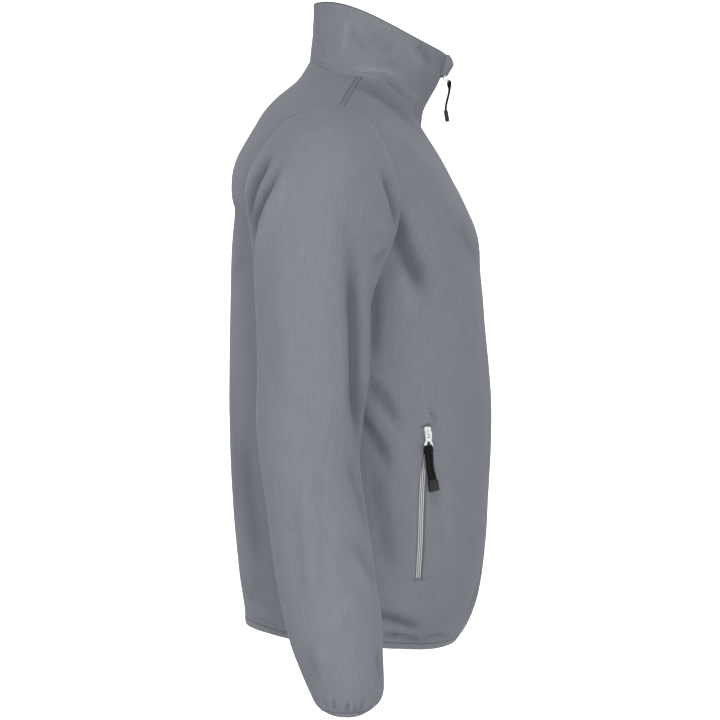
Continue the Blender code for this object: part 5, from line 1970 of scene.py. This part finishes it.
@dataclass
class Cloth:
    """The fleece panels, the collar and the chin guard."""

    grids: dict[str, ClothGrid]
    fleece: Material
    wall: float = 2.5
    collar_wall: float = 4.0
    guard_wall: float = 1.8
    # width and length of each cut, in metres, and the area inside that outline
    front_cut: tuple[float, float, float] = (0.3, 0.715, 0.173)
    back_cut: tuple[float, float, float] = (0.55, 0.73, 0.334)
    sleeve_cut: tuple[float, float, float] = (0.395, 0.7, 0.216)
    collar_cut: tuple[float, float, float] = (0.46, 0.1, 0.039)
    guard_cut: tuple[float, float, float] = (0.038, 0.03, 0.0009)

    def build(self) -> None:
        """Makes every panel."""
        hemmed = (Border.FIRST_COLUMN, Border.LAST_COLUMN, Border.LAST_ROW)
        plans = {
            "front": (self.wall, hemmed[:1], self.front_cut),
            "back": (self.wall, (), self.back_cut),
            "sleeve": (self.wall, (), self.sleeve_cut),
            "collar": (self.collar_wall, hemmed, self.collar_cut),
            "chin": (self.guard_wall, tuple(Border), self.guard_cut),
        }
        for name, grid in self.grids.items():
            wall, folded, (width, length, area) = plans[name.split("_")[0]]
            piece = grid.shell(self.fleece, wall, folded)
            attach(piece, "jacket")
            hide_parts(name)
            LOG.info("%s: %d faces", piece.name, len(piece.data.polygons))


@dataclass
class Bindings:
    """The elastic bindings of the hem and the cuffs."""

    grids: dict[str, ClothGrid]
    material: Material
    wall: float = 2.5
    proud: float = 0.55
    hem_width: float = 8.0
    cuff_width: float = 4.8
    cuff_sag: float = 0.12
    skin: float = 0.7
    step: float = 1.6
    ripple: float = 0.12
    fine_puckers: float = 2.3
    slow_puckers: float = 9.0
    # how many rows in from the edge the way down is taken
    hem_rows: int = 8
    cuff_rows: int = 5
    hem_flat: tuple[float, float] = (0.96, 0.018)
    cuff_flat: tuple[float, float] = (0.18, 0.011)

    def section(self, width: float) -> Array:
        """(run down the cloth, rise off its face) round the strip folded over the edge.

        Args:
            width: How far the strip covers the cloth.

        Returns:
            The section's points, outer skin first.
        """
        turn = np.linspace(0, math.pi, 9)
        contours = []
        for skin in (0.0, self.skin):
            half = self.wall / 2 + self.proud - skin
            foot = [(width - half - skin + half * math.sin(t), half * math.cos(t)) for t in turn]
            leg = [(0.15, half - self.proud), (0.7, half - 0.1), (1.6, half), (width * 0.5, half - 0.12)]
            contours.append([*leg, *foot, *((run, -rise) for run, rise in reversed(leg))])
        return np.array([*contours[0], *reversed(contours[1])]) - (0.0, self.wall / 2)

    def strip(
        self, name: str, edge: Array, inside: Array, normals: Array, width: float, closed: bool, sag: float
    ) -> Piece:
        """Sweeps one binding along a cloth edge.

        Args:
            name: The piece's name.
            edge: The cloth's last row.
            inside: A row further in, which shows the way down.
            normals: The way out of the cloth along its edge.
            width: How far the binding covers.
            closed: Whether it runs round a tube.
            sag: How much wider it is at its sides than at its front and back, as a share.

        Returns:
            The binding.
        """
        if closed:
            edge, inside, normals = (np.concatenate([a, a[:1]]) for a in (edge, inside, normals))
        here = walked(edge)
        count = round(here[-1] / self.step)
        wanted = np.linspace(0, here[-1], count + 1)[: count + (not closed)]
        edge, inside, normals = (read_at(a, here, wanted) for a in (edge, inside, unit(normals)))
        edge = evened(edge, 1, closed) if closed else edge
        down, out = (unit(evened(turned, 4, closed)) for turned in (edge - inside, normals))
        section = np.tile(self.section(width), (len(edge), 1, 1))
        across = np.abs(edge[:, 1] - edge[:, 1].mean())
        across /= across.max()
        section[..., 0] *= (1 + sag * (1 - 2 * across**2))[:, None]
        puckers, slow = (
            np.array([noise.noise(Vector((w / length, lane, 5.0))) for w in wanted]) * self.ripple
            for length, lane in ((self.fine_puckers, 0.0), (self.slow_puckers, 2.0))
        )
        outer = section[..., 1] > -self.wall / 2
        section[..., 1] += np.where(outer, 1, -1) * (puckers + slow)[:, None] * (section[..., 0] > 0.5)
        return Sweep(name, edge, down, out, section, closed, 180.0).build(self.material)

    def build(self) -> None:
        """Makes the three bindings."""
        right, back, left = (self.grids[name] for name in ("front_right", "back", "front_left"))
        parts = ((right, slice(None)), (back, slice(1, -1)), (left, slice(None, None, -1)))
        edge = np.concatenate([grid.points[0][part] for grid, part in parts])
        inside = np.concatenate([grid.points[self.hem_rows][part] for grid, part in parts])
        normals = np.concatenate([grid.normals()[0][part] for grid, part in parts])
        hem = self.strip("binding_hem", edge, inside, normals, self.hem_width, False, 0.0)
        self.finish(hem, "hem_binding", self.hem_flat)
        for side in Side:
            grid = self.grids[f"sleeve_{side.label}"]
            edge, inside = grid.points[-1], grid.points[-1 - self.cuff_rows]
            name = f"binding_cuff_{side.label}"
            out = grid.normals()[-1]
            cuff = self.strip(name, edge, inside, out, self.cuff_width, True, self.cuff_sag)
            self.finish(cuff, f"cuff_binding_{side.label}", self.cuff_flat)

    def finish(self, piece: Piece, node: str, flat: tuple[float, float]) -> None:
        """Lets a binding ride and replace its node.

        Args:
            piece: The binding.
            node: The node that it replaces.
            flat: The strip's two sizes, in metres; not used.
        """
        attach(piece, "jacket")
        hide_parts(node)
        LOG.info("%s: %d faces", piece.name, len(piece.data.polygons))


@dataclass
class Zips:
    """The front zip and the two pocket zips: woven tape and a reversed coil."""

    grids: dict[str, ClothGrid]
    tape: Material
    coil: Material
    wall: float = 2.5
    tape_gap: float = 0.4
    tape_thick: float = 0.9
    pitch: float = 1.5
    line_width: float = 1.15
    line_height: float = 0.7
    line_lift: float = 0.12
    line_beat: float = 0.22
    pocket_reach: float = 8.0
    pocket_sink: float = 0.6
    pocket_lines: tuple[float, ...] = (-2.35, 0.0, 2.35)
    pocket_overrun: float = 2.0
    front_reach: float = 10.5
    front_lines: tuple[float, ...] = (-1.45, 1.45)
    front_overrun: float = 6.0
    foot_rows: int = 8
    collar_rows: int = 4
    coil_sides: int = 8
    # steps of a coil's line in each pitch, and of those steps in each of the tape's
    coil_steps: int = 4
    tape_steps: int = 8

    def chain(
        self, name: str, path: Array, out: Array, reach: float, floor: float, offsets: Sequence[float]
    ) -> list[Piece]:
        """The tape and the raised lines of its coil along a path on the cloth's face.

        Args:
            name: What follows tape and coil in the pieces' names.
            path: The zip's middle line.
            out: The way out at each of its points.
            reach: Half the tape's width.
            floor: How far the tape's face rises off the cloth's.
            offsets: Where each line of the coil runs, from the middle.

        Returns:
            The tape, then the lines of its coil.
        """
        here = walked(path)
        count = int(here[-1] / (self.pitch / self.coil_steps))
        wanted = np.linspace(0, here[-1], count)
        fine = read_at(path, here, wanted)
        side, normals = path_frames(fine, unit(read_at(out, here, wanted)))
        back = floor - self.tape_thick
        outline = [(-reach, back), (reach, back), (reach, floor), (-reach, floor)]
        every = slice(None, None, self.tape_steps)
        tape = Sweep(f"tape_{name}", fine[every], side[every], normals[every], np.array(outline))
        pieces = [tape.build(self.tape)]
        beat = 1 - self.line_beat + self.line_beat * np.abs(np.cos(wanted / self.pitch * math.pi))
        beats = np.stack([np.ones(count), beat], axis=1)[:, None]
        for number, offset in enumerate(offsets):
            ring = oval(self.line_width, 2 * self.line_height, self.coil_sides)[None] * beats
            ring = ring + np.array((offset, floor + self.line_lift))
            line = Sweep(f"coil_{name}_{number}", fine, side, normals, ring, sharp=180.0)
            pieces.append(line.build(self.coil))
        return pieces

    def pocket(self, side: Side) -> list[Piece]:
        """The zip that closes one pocket's slit.

        Args:
            side: The wearer's side.

        Returns:
            The tape, then the lines of its coil.
        """
        grid = self.grids[f"front_{side.label}"]
        low, high, left, right = grid.hole
        rows = slice(low, high + 1)
        path = (grid.points[rows, left] + grid.points[rows, right]) / 2
        normals = grid.normals()
        out = unit(normals[rows, left] + normals[rows, right])
        run = unit(path[-1] - path[0]) * self.pocket_overrun
        path[0] -= run
        path[-1] += run
        floor = -self.wall + self.pocket_sink
        return self.chain(f"pocket_{side.label}", path, out, self.pocket_reach, floor, self.pocket_lines)

    def front(self) -> list[Piece]:
        """The zip up the middle front, into the collar.

        Returns:
            The tape, then the lines of its coil.
        """
        front, collar = self.grids["front_right"], self.grids["collar"]
        part = slice(1, -self.collar_rows)
        path = np.vstack([front.points[:, 0], collar.points[part, 0]])
        out = np.vstack([front.normals()[:, 0], collar.normals()[part, 0]])
        path[:, 0] = 0.0
        out[:, 0] = 0.0
        path[0] += unit(path[0] - path[self.foot_rows]) * self.front_overrun
        floor = -self.wall - self.tape_gap
        return self.chain("front", path, unit(out), self.front_reach, floor, self.front_lines)

    def build(self) -> None:
        """Makes the three zips."""
        for node, pieces in (
            ("front_zip", self.front()),
            ("pocket_zip_right", self.pocket(Side.RIGHT)),
            ("pocket_zip_left", self.pocket(Side.LEFT)),
        ):
            for piece in pieces:
                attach(piece, "jacket")
            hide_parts(node)
            LOG.info("%s: %d pieces", node, len(pieces))


# --- hard parts -------------------------------------------------------------------------------


def hang(across: Vector, normal: Vector, place: Vector) -> Matrix:
    """A frame whose X runs across the zip, whose -Y is the way out and whose Z runs up."""
    x, y = across.normalized(), -normal.normalized()
    return Matrix.Translation(place) @ Matrix((x, y, x.cross(y))).transposed().to_4x4()


# meshes of the pieces that are modelled once and copied
MODELLED: dict[tuple, bpy.types.Mesh] = {}


def deselect() -> None:
    """Selects nothing."""
    bpy.ops.object.select_all(action="DESELECT")


def cube(name: str, size: Sequence[float], centre: Sequence[float]) -> Piece:
    """Adds a box of that size in millimetres.

    Args:
        name: The piece's name.
        size: Its three sizes.
        centre: Its middle.

    Returns:
        The box.
    """
    deselect()
    place, scale = ([value * MM for value in values] for values in (centre, size))
    bpy.ops.mesh.primitive_cube_add(size=1, location=place, scale=scale)
    return named(name)


def cylinder(name: str, radius: float, depth: float, centre: Sequence[float]) -> Piece:
    """Adds a cylinder in millimetres that runs along Y.

    Args:
        name: The piece's name.
        radius: Its radius.
        depth: Its length.
        centre: Its middle.

    Returns:
        The cylinder.
    """
    deselect()
    place, turn = [value * MM for value in centre], (math.pi / 2, 0, 0)
    bpy.ops.mesh.primitive_cylinder_add(
        vertices=24, radius=radius * MM, depth=depth * MM, location=place, rotation=turn
    )
    return named(name)


def named(name: str) -> Piece:
    """The piece just added, named and with its place and size in its mesh.

    Args:
        name: The piece's name.

    Returns:
        The piece.
    """
    piece = bpy.context.object
    piece.name = piece.data.name = name
    bpy.ops.object.transform_apply(location=True, rotation=True, scale=True)
    return piece


def select(piece: Piece, wanted: Callable[[bmesh.types.BMFace], bool]) -> None:
    """Enters edit mode with just those faces selected.

    Args:
        piece: The piece.
        wanted: Says whether a face is one of them.
    """
    bpy.context.view_layer.objects.active = piece
    bpy.ops.object.mode_set(mode="EDIT")
    bpy.ops.mesh.select_mode(type="FACE")
    bpy.ops.mesh.select_all(action="DESELECT")
    mesh = bmesh.from_edit_mesh(piece.data)
    for face in mesh.faces:
        face.select_set(wanted(face))
    bmesh.update_edit_mesh(piece.data)


def done() -> None:
    """Leaves edit mode."""
    bpy.ops.object.mode_set(mode="OBJECT")


def taper(piece: Piece, cuts: int, width_at: Callable[[float], float]) -> None:
    """Subdivides a piece and draws its levels in or out across.

    Args:
        piece: The piece.
        cuts: How many cuts go through each of its edges.
        width_at: The factor on its width at each height in millimetres.
    """
    select(piece, lambda f: True)
    bpy.ops.mesh.subdivide(number_cuts=cuts)
    done()
    for level in sorted({round(vertex.co.z / MM, 3) for vertex in piece.data.vertices}):
        bpy.ops.object.mode_set(mode="EDIT")
        bpy.ops.mesh.select_mode(type="VERT")
        bpy.ops.mesh.select_all(action="DESELECT")
        mesh = bmesh.from_edit_mesh(piece.data)
        for vertex in mesh.verts:
            vertex.select_set(abs(vertex.co.z / MM - level) < 0.002)
        mesh.select_flush(True)
        bmesh.update_edit_mesh(piece.data)
        bpy.ops.transform.resize(value=(width_at(level), 1, 1), center_override=(0, 0, level * MM))
        done()


def repeat(key: tuple, name: str, model: Callable[[], Piece]) -> Piece:
    """Models a piece the first time and copies it, with its own mesh, from then on.

    Args:
        key: What tells this model from others.
        name: The piece's name.
        model: Models the first one.

    Returns:
        The piece.
    """
    if key in MODELLED:
        piece = bpy.data.objects.new(name, MODELLED[key].copy())
        bpy.context.scene.collection.objects.link(piece)
    else:
        piece = model()
        MODELLED[key] = piece.data.copy()
    piece.name = piece.data.name = name
    return piece


def modify(piece: Piece, kind: str, **settings: object) -> None:
    """Adds a modifier and applies it.

    Args:
        piece: The piece.
        kind: The modifier's type.
        settings: The modifier's settings.
    """
    bpy.context.view_layer.objects.active = piece
    modifier = piece.modifiers.new(kind.lower(), kind)
    for name, value in settings.items():
        setattr(modifier, name, value)
    bpy.ops.object.modifier_apply(modifier=modifier.name)


def cut(piece: Piece, tool: Piece, operation: str = "DIFFERENCE") -> None:
    """Cuts or joins a piece with another, which goes."""
    modify(piece, "BOOLEAN", operation=operation, object=tool, solver="EXACT")
    bpy.data.objects.remove(tool)


def round_edges(piece: Piece, width: float, segments: int = 2) -> None:
    """Bevels the sharper edges."""
    limit = {"limit_method": "ANGLE", "angle_limit": math.radians(32), "use_clamp_overlap": True}
    modify(piece, "BEVEL", width=width * MM, segments=segments, **limit)


def put_in_place(piece: Piece, frame_at: Matrix, material: Material) -> Piece:
    """Puts a piece's mesh in its place, dressed and shaded.

    Args:
        piece: The piece.
        frame_at: Its place.
        material: Its finish.

    Returns:
        The same piece.
    """
    piece.data.transform(frame_at)
    piece.data.materials.clear()
    piece.data.materials.append(material)
    piece.data.update()
    deselect()
    piece.select_set(True)
    bpy.context.view_layer.objects.active = piece
    bpy.ops.object.shade_smooth_by_angle(angle=math.radians(35))
    return piece


@dataclass
class ZipSlider:
    """A reversed zip's slider: a waisted body, its shoulders and the bail over its middle."""

    name: str
    node: str
    frame_at: Matrix
    material: Material
    rise: float = 0.0
    height: float = 2.4
    width: float = 8.4
    length: float = 11.2
    bail_inner: float = 1.3
    bail_outer: float = 2.2
    bail_width: float = 2.4
    bail_root: float = 0.8
    bail_tall: float = 2.6
    eye_tall: float = 2.0
    waist: float = 0.26
    crown: float = 0.64
    crown_start: float = 0.25
    face_inset: float = 1.0
    face_rise: float = 0.35
    edge: float = 0.35
    bail_edge: float = 1.1
    lift: float = 0.0

    def width_at(self, level: float) -> float:
        """The body's width at a height, as a factor: waisted below and rounded at its crown.

        Args:
            level: The height, in millimetres.

        Returns:
            The factor.
        """
        part = (level - self.lift) / self.length
        waist = 1.0 - self.waist * smooth(np.array(0.5 - part * 1.6)).item()
        return waist * (1.0 - self.crown * max(0.0, part - self.crown_start))

    def model(self) -> Piece:
        """Models the slider round its hinge: X across, Y into the cloth, Z up.

        Returns:
            The slider.
        """
        floor = self.bail_inner + self.rise
        size = (self.width, self.height, self.length)
        body = cube("slider", size, (0, floor + self.height / 2, self.lift))
        taper(body, 3, self.width_at)
        select(body, lambda f: f.normal.y < -0.9)
        bpy.ops.mesh.inset(thickness=self.face_inset * MM, depth=self.face_rise * MM)
        done()
        round_edges(body, self.edge)
        deep, up = self.rise + self.bail_root, self.lift / 2
        bail = (self.bail_width, 2 * self.bail_outer + deep, 2 * self.bail_outer + self.bail_tall + up)
        outer = cube("bail", bail, (0, deep / 2, up / 2))
        round_edges(outer, self.bail_edge, 3)
        eye = (self.bail_width * 2, 2 * self.bail_inner + self.rise, 2 * self.bail_inner + self.eye_tall + up)
        inner = cube("eye", eye, (0, self.rise / 2, up / 2))
        cut(outer, inner)
        cut(body, outer, "UNION")
        return body

    def build(self) -> None:
        """Makes the slider."""
        key = ("slider", self.rise, self.height, self.length)
        body = repeat(key, self.name, self.model)
        put_in_place(body, self.frame_at, self.material)
        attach(body, "jacket")
        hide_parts(self.node)
        LOG.info("%s: %d faces", body.name, len(body.data.polygons))


class PullSize(NamedTuple):
    """A pull's sizes; route is its doubled cord's line as (side, out, down) from the hinge."""

    tab_length: float
    tab_top: float
    tab_waist: float
    tab_foot: float
    tab_thick: float
    tab_tilt: float
    strand_width: float
    strand_thick: float
    head: tuple[float, float, float]
    head_out: float
    head_drop: float
    head_lean: float
    head_swell: float
    lean_side: float
    lean_out: float
    block: tuple[float, float, float]
    route: tuple[tuple[float, float, float], ...]


POCKET_PULL = PullSize(
    tab_length=16.5, tab_top=8.2, tab_waist=7.0, tab_foot=11.8, tab_thick=1.4, tab_tilt=0.0,
    strand_width=5.2, strand_thick=2.6,
    head=(12.2, 6.6, 10.8), head_out=0.2, head_drop=20.2, head_lean=0.0, head_swell=0.0,
    lean_side=10.0, lean_out=0.0, block=(12.0, 4.2, 11.4),
    route=((0.0, 0.0, 17.5), (1.0, 0.0, 26.5), (2.0, 0.0, 39.9), (4.2, 0.0, 48.5), (5.6, 0.0, 54.3)),
)
NECK_PULL = PullSize(
    tab_length=8.4, tab_top=5.6, tab_waist=5.0, tab_foot=6.4, tab_thick=1.2, tab_tilt=20.0,
    strand_width=3.1, strand_thick=2.9,
    head=(7.4, 5.4, 14.0), head_out=2.7, head_drop=7.6, head_lean=3.0, head_swell=0.9,
    lean_side=0.0, lean_out=10.0, block=(9.4, 4.8, 12.2),
    route=(
        (0.0, 3.2, 8.6), (0.0, 2.7, 13.0), (0.0, 1.4, 20.0), (0.0, -0.3, 27.0), (0.0, -1.5, 33.0),
        (0.0, -1.8, 37.5),
    ),
)
TAB_PARTS = (0.0, 0.08, 0.45, 0.62, 0.86, 1.0)
TAB_EYE = (3.2, 6, 3.4)
TAB_SLOT = (3.4, 6, 0.9)


@dataclass
class Pull:
    """A pull that swings on its slider: tab, doubled cord with its loop, and moulded end."""

    body: str
    frame_at: Matrix
    sign: int
    size: PullSize
    finishes: dict[str, Material]
    overlap: float = 3.0
    route_samples: int = 22
    samples: int = 60
    strand_sides: int = 14
    strands_apart: float = 0.96
    slot_drop: float = 5.6
    hole_share: float = 0.2
    hole_margin: float = 1.1
    crown: float = 0.8
    tab_edge: float = 0.28
    groove_width: float = 0.06
    groove_depth: float = 0.5
    top_flare: float = 0.1
    foot_flare: float = 0.5
    bow: float = 0.2
    block_drop: float = 1.2
    block_edge: float = 0.8
    sunk: float = 0.3
    rim: float = 1.0
    mouth: tuple[float, float, float] = (0.88, 0.86, 2.4)
    mouth_drop: float = 0.9
    mouth_edge: float = 0.6

    def route(self) -> Array:
        """The doubled cord's middle line, from the tab's hole to inside the moulded end.

        Returns:
            Points from the hinge, in millimetres.
        """
        rows = [(side * self.sign, -out, -down) for side, out, down in self.size.route]
        line = through(rows, np.linspace(0, len(rows) - 1, self.route_samples))
        start = line[0] + unit(line[0] - line[1]) * self.overlap
        end = line[-1] + unit(line[-1] - line[-2]) * self.overlap
        return np.vstack([start, line, end])

    def in_place(self, points: Array) -> Array:
        """Local points, in millimetres, moved to the row frame."""
        turn = np.array(self.frame_at.to_3x3())
        return points @ turn.T + np.array(self.frame_at.translation) / MM

    def strands(self) -> list[tuple[Piece, Array]]:
        """The two strands of the cord, side by side.

        Returns:
            Each strand and the points of its middle line.
        """
        size, line = self.size, self.route()
        outward, turn = (0.0, -1.0, 0.0), np.array(self.frame_at.to_3x3())
        side, _ = path_frames(line, np.tile(outward, (len(line), 1)))
        side = side * np.sign(side[:, :1]) if abs(side[0, 0]) > 0.5 else side
        ring = oval(size.strand_width, size.strand_thick, self.strand_sides)
        made = []
        for number, way in enumerate((-1, 1)):
            path = line + side * (way * size.strand_width / 2 * self.strands_apart)
            fine = at_lengths(path, np.linspace(0, walked(path)[-1], self.samples))
            placed = self.in_place(fine)
            across, out = path_frames(fine, np.tile(outward, (self.samples, 1)))
            name = f"{self.body}_strand_{number}"
            sweep = Sweep(name, placed, across @ turn.T, out @ turn.T, ring, sharp=180.0)
            made.append((sweep.build(self.finishes["cord"]), placed))
        return made

    def plate(self) -> Piece:
        """Models the tab, hanging from its hinge: an eye for the bail, a slot and the cord's hole.

        Returns:
            The tab, near the origin.
        """
        size = self.size
        top, foot = size.tab_thick / 2, -size.tab_length
        tab = cube("plate", (size.tab_top, size.tab_thick, top - foot), (0, 0, (top + foot) / 2))
        upper = (self.crown * size.tab_top, size.tab_top, 0.97 * size.tab_top)
        widths = (*upper, size.tab_waist, size.tab_foot, self.crown * size.tab_foot)

        def width_at(level: float) -> float:
            """The tab's width at a height, as a factor."""
            return np.interp((top - level) / (top - foot), TAB_PARTS, widths).item() / size.tab_top

        taper(tab, 7, width_at)
        hole = size.tab_foot * self.hole_share
        slot_drop = self.slot_drop * size.tab_length / POCKET_PULL.tab_length
        for tool in (
            cube("eye", TAB_EYE, (0, 0, -top - TAB_EYE[2] / 2)),
            cube("slot", TAB_SLOT, (0, 0, -top - slot_drop)),
            cylinder("hole", hole, TAB_EYE[1], (0, 0, foot + hole + self.hole_margin)),
        ):
            cut(tab, tool)
        round_edges(tab, self.tab_edge)
        return tab

    def tab(self) -> Piece:
        """The metal tab.

        Returns:
            The tab, in place.
        """
        tab = repeat(("tab", self.size), f"{self.body}_plate", self.plate)
        tilt = Matrix.Rotation(-math.radians(self.size.tab_tilt), 4, "X")
        return put_in_place(tab, self.frame_at @ tilt, self.finishes["metal"])

    def head(self) -> Piece:
        """The cord's loop, drawn tight round the tab's foot.

        Returns:
            The loop, in place.
        """
        width, thick, tall = self.size.head
        deselect()
        scale = (width, thick, tall)
        bpy.ops.mesh.primitive_uv_sphere_add(segments=32, ring_count=20, radius=0.5 * MM, scale=scale)
        head = named(f"{self.body}_loop")
        for vertex in head.data.vertices:
            across, level = vertex.co.x / (width * MM), vertex.co.z / (tall * MM)
            groove = math.exp(-((across / self.groove_width) ** 2)) * self.groove_depth * MM
            if abs(vertex.co.y) > groove:
                vertex.co.y -= math.copysign(groove, vertex.co.y)
            flare = self.top_flare if level > 0 else self.foot_flare
            vertex.co.x *= 1.0 + flare * (2 * level) ** 2
            vertex.co.y *= 1.0 + self.size.head_swell * level
            vertex.co.z *= 1.0 + self.bow * (2 * across) ** 2
        layer = head.data.uv_layers.active
        layer.name = "cloth"
        for loop in head.data.loops:
            spot = head.data.vertices[loop.vertex_index].co
            layer.data[loop.index].uv = (spot.x, spot.z)
        drop = Matrix.Translation(Vector((0.0, -self.size.head_out, -self.size.head_drop)) * MM)
        lean = Matrix.Rotation(-math.radians(self.size.head_lean), 4, "X")
        return put_in_place(head, self.frame_at @ drop @ lean, self.finishes["cord"])

    def block(self) -> Piece:
        """Models the moulded end: a soft-edged block with a sunk face and a collar at its mouth.

        Returns:
            The end, near the origin.
        """
        width, thick, tall = self.size.block
        block = cube("block", (width, thick, tall), (0, 0, -tall / 2 - self.block_drop))
        round_edges(block, self.block_edge, 3)
        select(block, lambda f: abs(f.normal.y) > 0.99)
        bpy.ops.mesh.inset(thickness=self.rim * MM, depth=-self.sunk * MM)
        done()
        wide, deep, high = self.mouth
        mouth = cube("mouth", (width * wide, thick * deep, high), (0, 0, -self.mouth_drop))
        round_edges(mouth, self.mouth_edge)
        cut(block, mouth, "UNION")
        return block

    def end(self) -> Piece:
        """The moulded end, at the foot of the cord.

        Returns:
            The end, in place.
        """
        size = self.size
        lean_side, lean_out = math.radians(size.lean_side) * self.sign, math.radians(size.lean_out)
        block = repeat(("block", size), f"{self.body}_block", self.block)
        foot = Vector(self.route()[-2]) * MM
        turn = Matrix.Rotation(-lean_side, 4, "Y") @ Matrix.Rotation(-lean_out, 4, "X")
        return put_in_place(block, self.frame_at @ Matrix.Translation(foot) @ turn, self.finishes["end"])

    def build(self) -> None:
        """Makes the pull's pieces."""
        strands, tab, head, end = self.strands(), self.tab(), self.head(), self.end()
        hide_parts(f"{self.body}_tab")
        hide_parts(f"{self.body}_end")
        for piece in (tab, head, end, *(strand for strand, _ in strands)):
            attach(piece, self.body)
        for strand, path in strands:
            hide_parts(f"{self.body}_cord")
            float(walked(path)[-1]) * MM
        LOG.info("%s: %d pieces", self.body, 3 + len(strands))


@dataclass
class Trims:
    """Sliders and pulls, on the frame's own hinges."""

    grids: dict[str, ClothGrid]
    finishes: dict[str, Material]
    neck_normal: tuple[float, float, float] = (0.0, -0.9, -0.436)

    def joint(self, body: str) -> tuple[Vector, Vector]:
        """(place, frame's X) of the hinge that a pull swings on."""
        found = next(j for j in frame["joints"] if j["child"] == body)
        return Vector(found["pos_m"]), -Vector(found["axis"]).normalized()

    def pulls(self) -> None:
        """Makes the three pulls."""
        place, across = self.joint("neck_pull")
        Pull("neck_pull", hang(across, Vector((0, -1, 0)), place), 1, NECK_PULL, self.finishes).build()
        for side in Side:
            body = f"pocket_pull_{side.label}"
            place, across = self.joint(body)
            at = hang(across, Vector((across.y, -across.x, 0.0)), place)
            Pull(body, at, -side.value, POCKET_PULL, self.finishes).build()

    def sliders(self) -> None:
        """Makes the three sliders."""
        place, across = self.joint("neck_pull")
        at = hang(across, Vector(self.neck_normal), place)
        neck = {"rise": 2.8, "height": 3.4, "length": 9.4, "bail_inner": 1.0, "bail_outer": 1.7, "lift": 6.2}
        ZipSlider("slider_neck", "neck_slider", at, self.finishes["metal"], **neck).build()
        for side in Side:
            place, across = self.joint(f"pocket_pull_{side.label}")
            grid = self.grids[f"front_{side.label}"]
            low, high, left, right = grid.hole
            line = (grid.points[low : high + 1, left] + grid.points[low : high + 1, right]) / 2
            row = int(np.argmin(np.linalg.norm(line - np.array(place) / MM, axis=1)))
            normal = unit(grid.normals()[low + row, left] + grid.normals()[low + row, right])
            at = hang(across, Vector(normal), place)
            names = f"slider_pocket_{side.label}", f"pocket_slider_{side.label}"
            ZipSlider(*names, at, self.finishes["metal"]).build()


# --- everything -------------------------------------------------------------------------------


@dataclass
class Sewing:
    """Every line of stitches that shows, at its distance from its seam or edge."""

    grids: dict[str, ClothGrid]
    needle: Needle
    arm_rows: dict[str, tuple[int, int]]
    shoulder: float = 2.9
    seam: float = 2.4
    edge: float = 3.0
    guard_foot: float = 1.8
    collar_top: float = 11.0
    # rows and columns of the grids that a line keeps clear of its ends
    neck_rows: int = 3
    foot_rows: int = 6
    slit_rows: int = 2
    slit_columns: int = 3

    def build(self) -> None:
        """Sews the shoulders, armholes, neck, collar, pockets and openings."""
        sew = self.needle.sew
        right, left, back, collar, guard = (
            self.grids[name] for name in ("front_right", "front_left", "back", "collar", "chin_guard")
        )
        first, last = self.arm_rows["front"]
        back_first, back_last = self.arm_rows["back"]
        for side, front, border in (
            (Side.RIGHT, right, Border.FIRST_COLUMN),
            (Side.LEFT, left, Border.LAST_COLUMN),
        ):
            sew(
                f"stitches_shoulder_{side.label}",
                front.line_at(Border.LAST_COLUMN, self.shoulder, slice(last, -self.neck_rows)),
                back.line_at(border, self.shoulder, slice(back_last, -self.neck_rows)),
            )
            sew(
                f"stitches_armhole_{side.label}",
                front.line_at(Border.LAST_COLUMN, self.seam, slice(first, last + 1)),
                back.line_at(border, self.seam, slice(back_first, back_last + 1)),
            )
            low, high, left_column, right_column = front.hole
            rows, normals = slice(low - self.slit_rows, high + 1 + self.slit_rows), front.normals()
            columns = (left_column - self.slit_columns, right_column + self.slit_columns)
            slit = ((front.points[rows, column], normals[rows, column]) for column in columns)
            sew(f"stitches_pocket_{side.label}", *slit)
            opening = front.line_at(Border.FIRST_COLUMN, self.edge, slice(self.foot_rows, None))
            sew(f"stitches_opening_{side.label}", opening)
        ends = (Border.FIRST_COLUMN, Border.LAST_COLUMN)
        sew("stitches_guard", *(guard.line_at(end, self.guard_foot) for end in ends))
        sew("stitches_neck", *(panel.line_at(Border.LAST_ROW, self.seam) for panel in (right, back, left)))
        top = collar.line_at(Border.LAST_ROW, self.collar_top, slice(self.foot_rows, -self.foot_rows))
        sew("stitches_collar", top, *(collar.line_at(end, self.edge) for end in ends))


def main() -> None:
    """Builds the jacket around its frame."""
    logging.basicConfig(level=logging.INFO, format="%(name)s: %(message)s")
    Studio().build()
    effects = Effects()
    finishes = {name: finish.make(effects) for name, finish in FINISHES.items()}

    pattern = Pattern()
    grids = pattern.lay_out()
    Drape().dress(grids)
    Trims(grids, finishes).pulls()
    grids["chin_guard"] = ClothGrid("chin_guard", pattern.guard(grids["collar"].points))
    Cloth(grids, finishes["fleece"]).build()
    Bindings(grids, finishes["binding"]).build()
    Zips(grids, finishes["tape"], finishes["coil"]).build()
    Trims(grids, finishes).sliders()
    first = len(pattern.body_places()[0]) - 1
    arm_rows = {
        "front": (first, first + pattern.front_arm_steps),
        "back": (first, first + pattern.back_arm_steps),
    }
    Sewing(grids, Needle(finishes["thread"]), arm_rows).build()


if __name__ == "__main__":
    main()
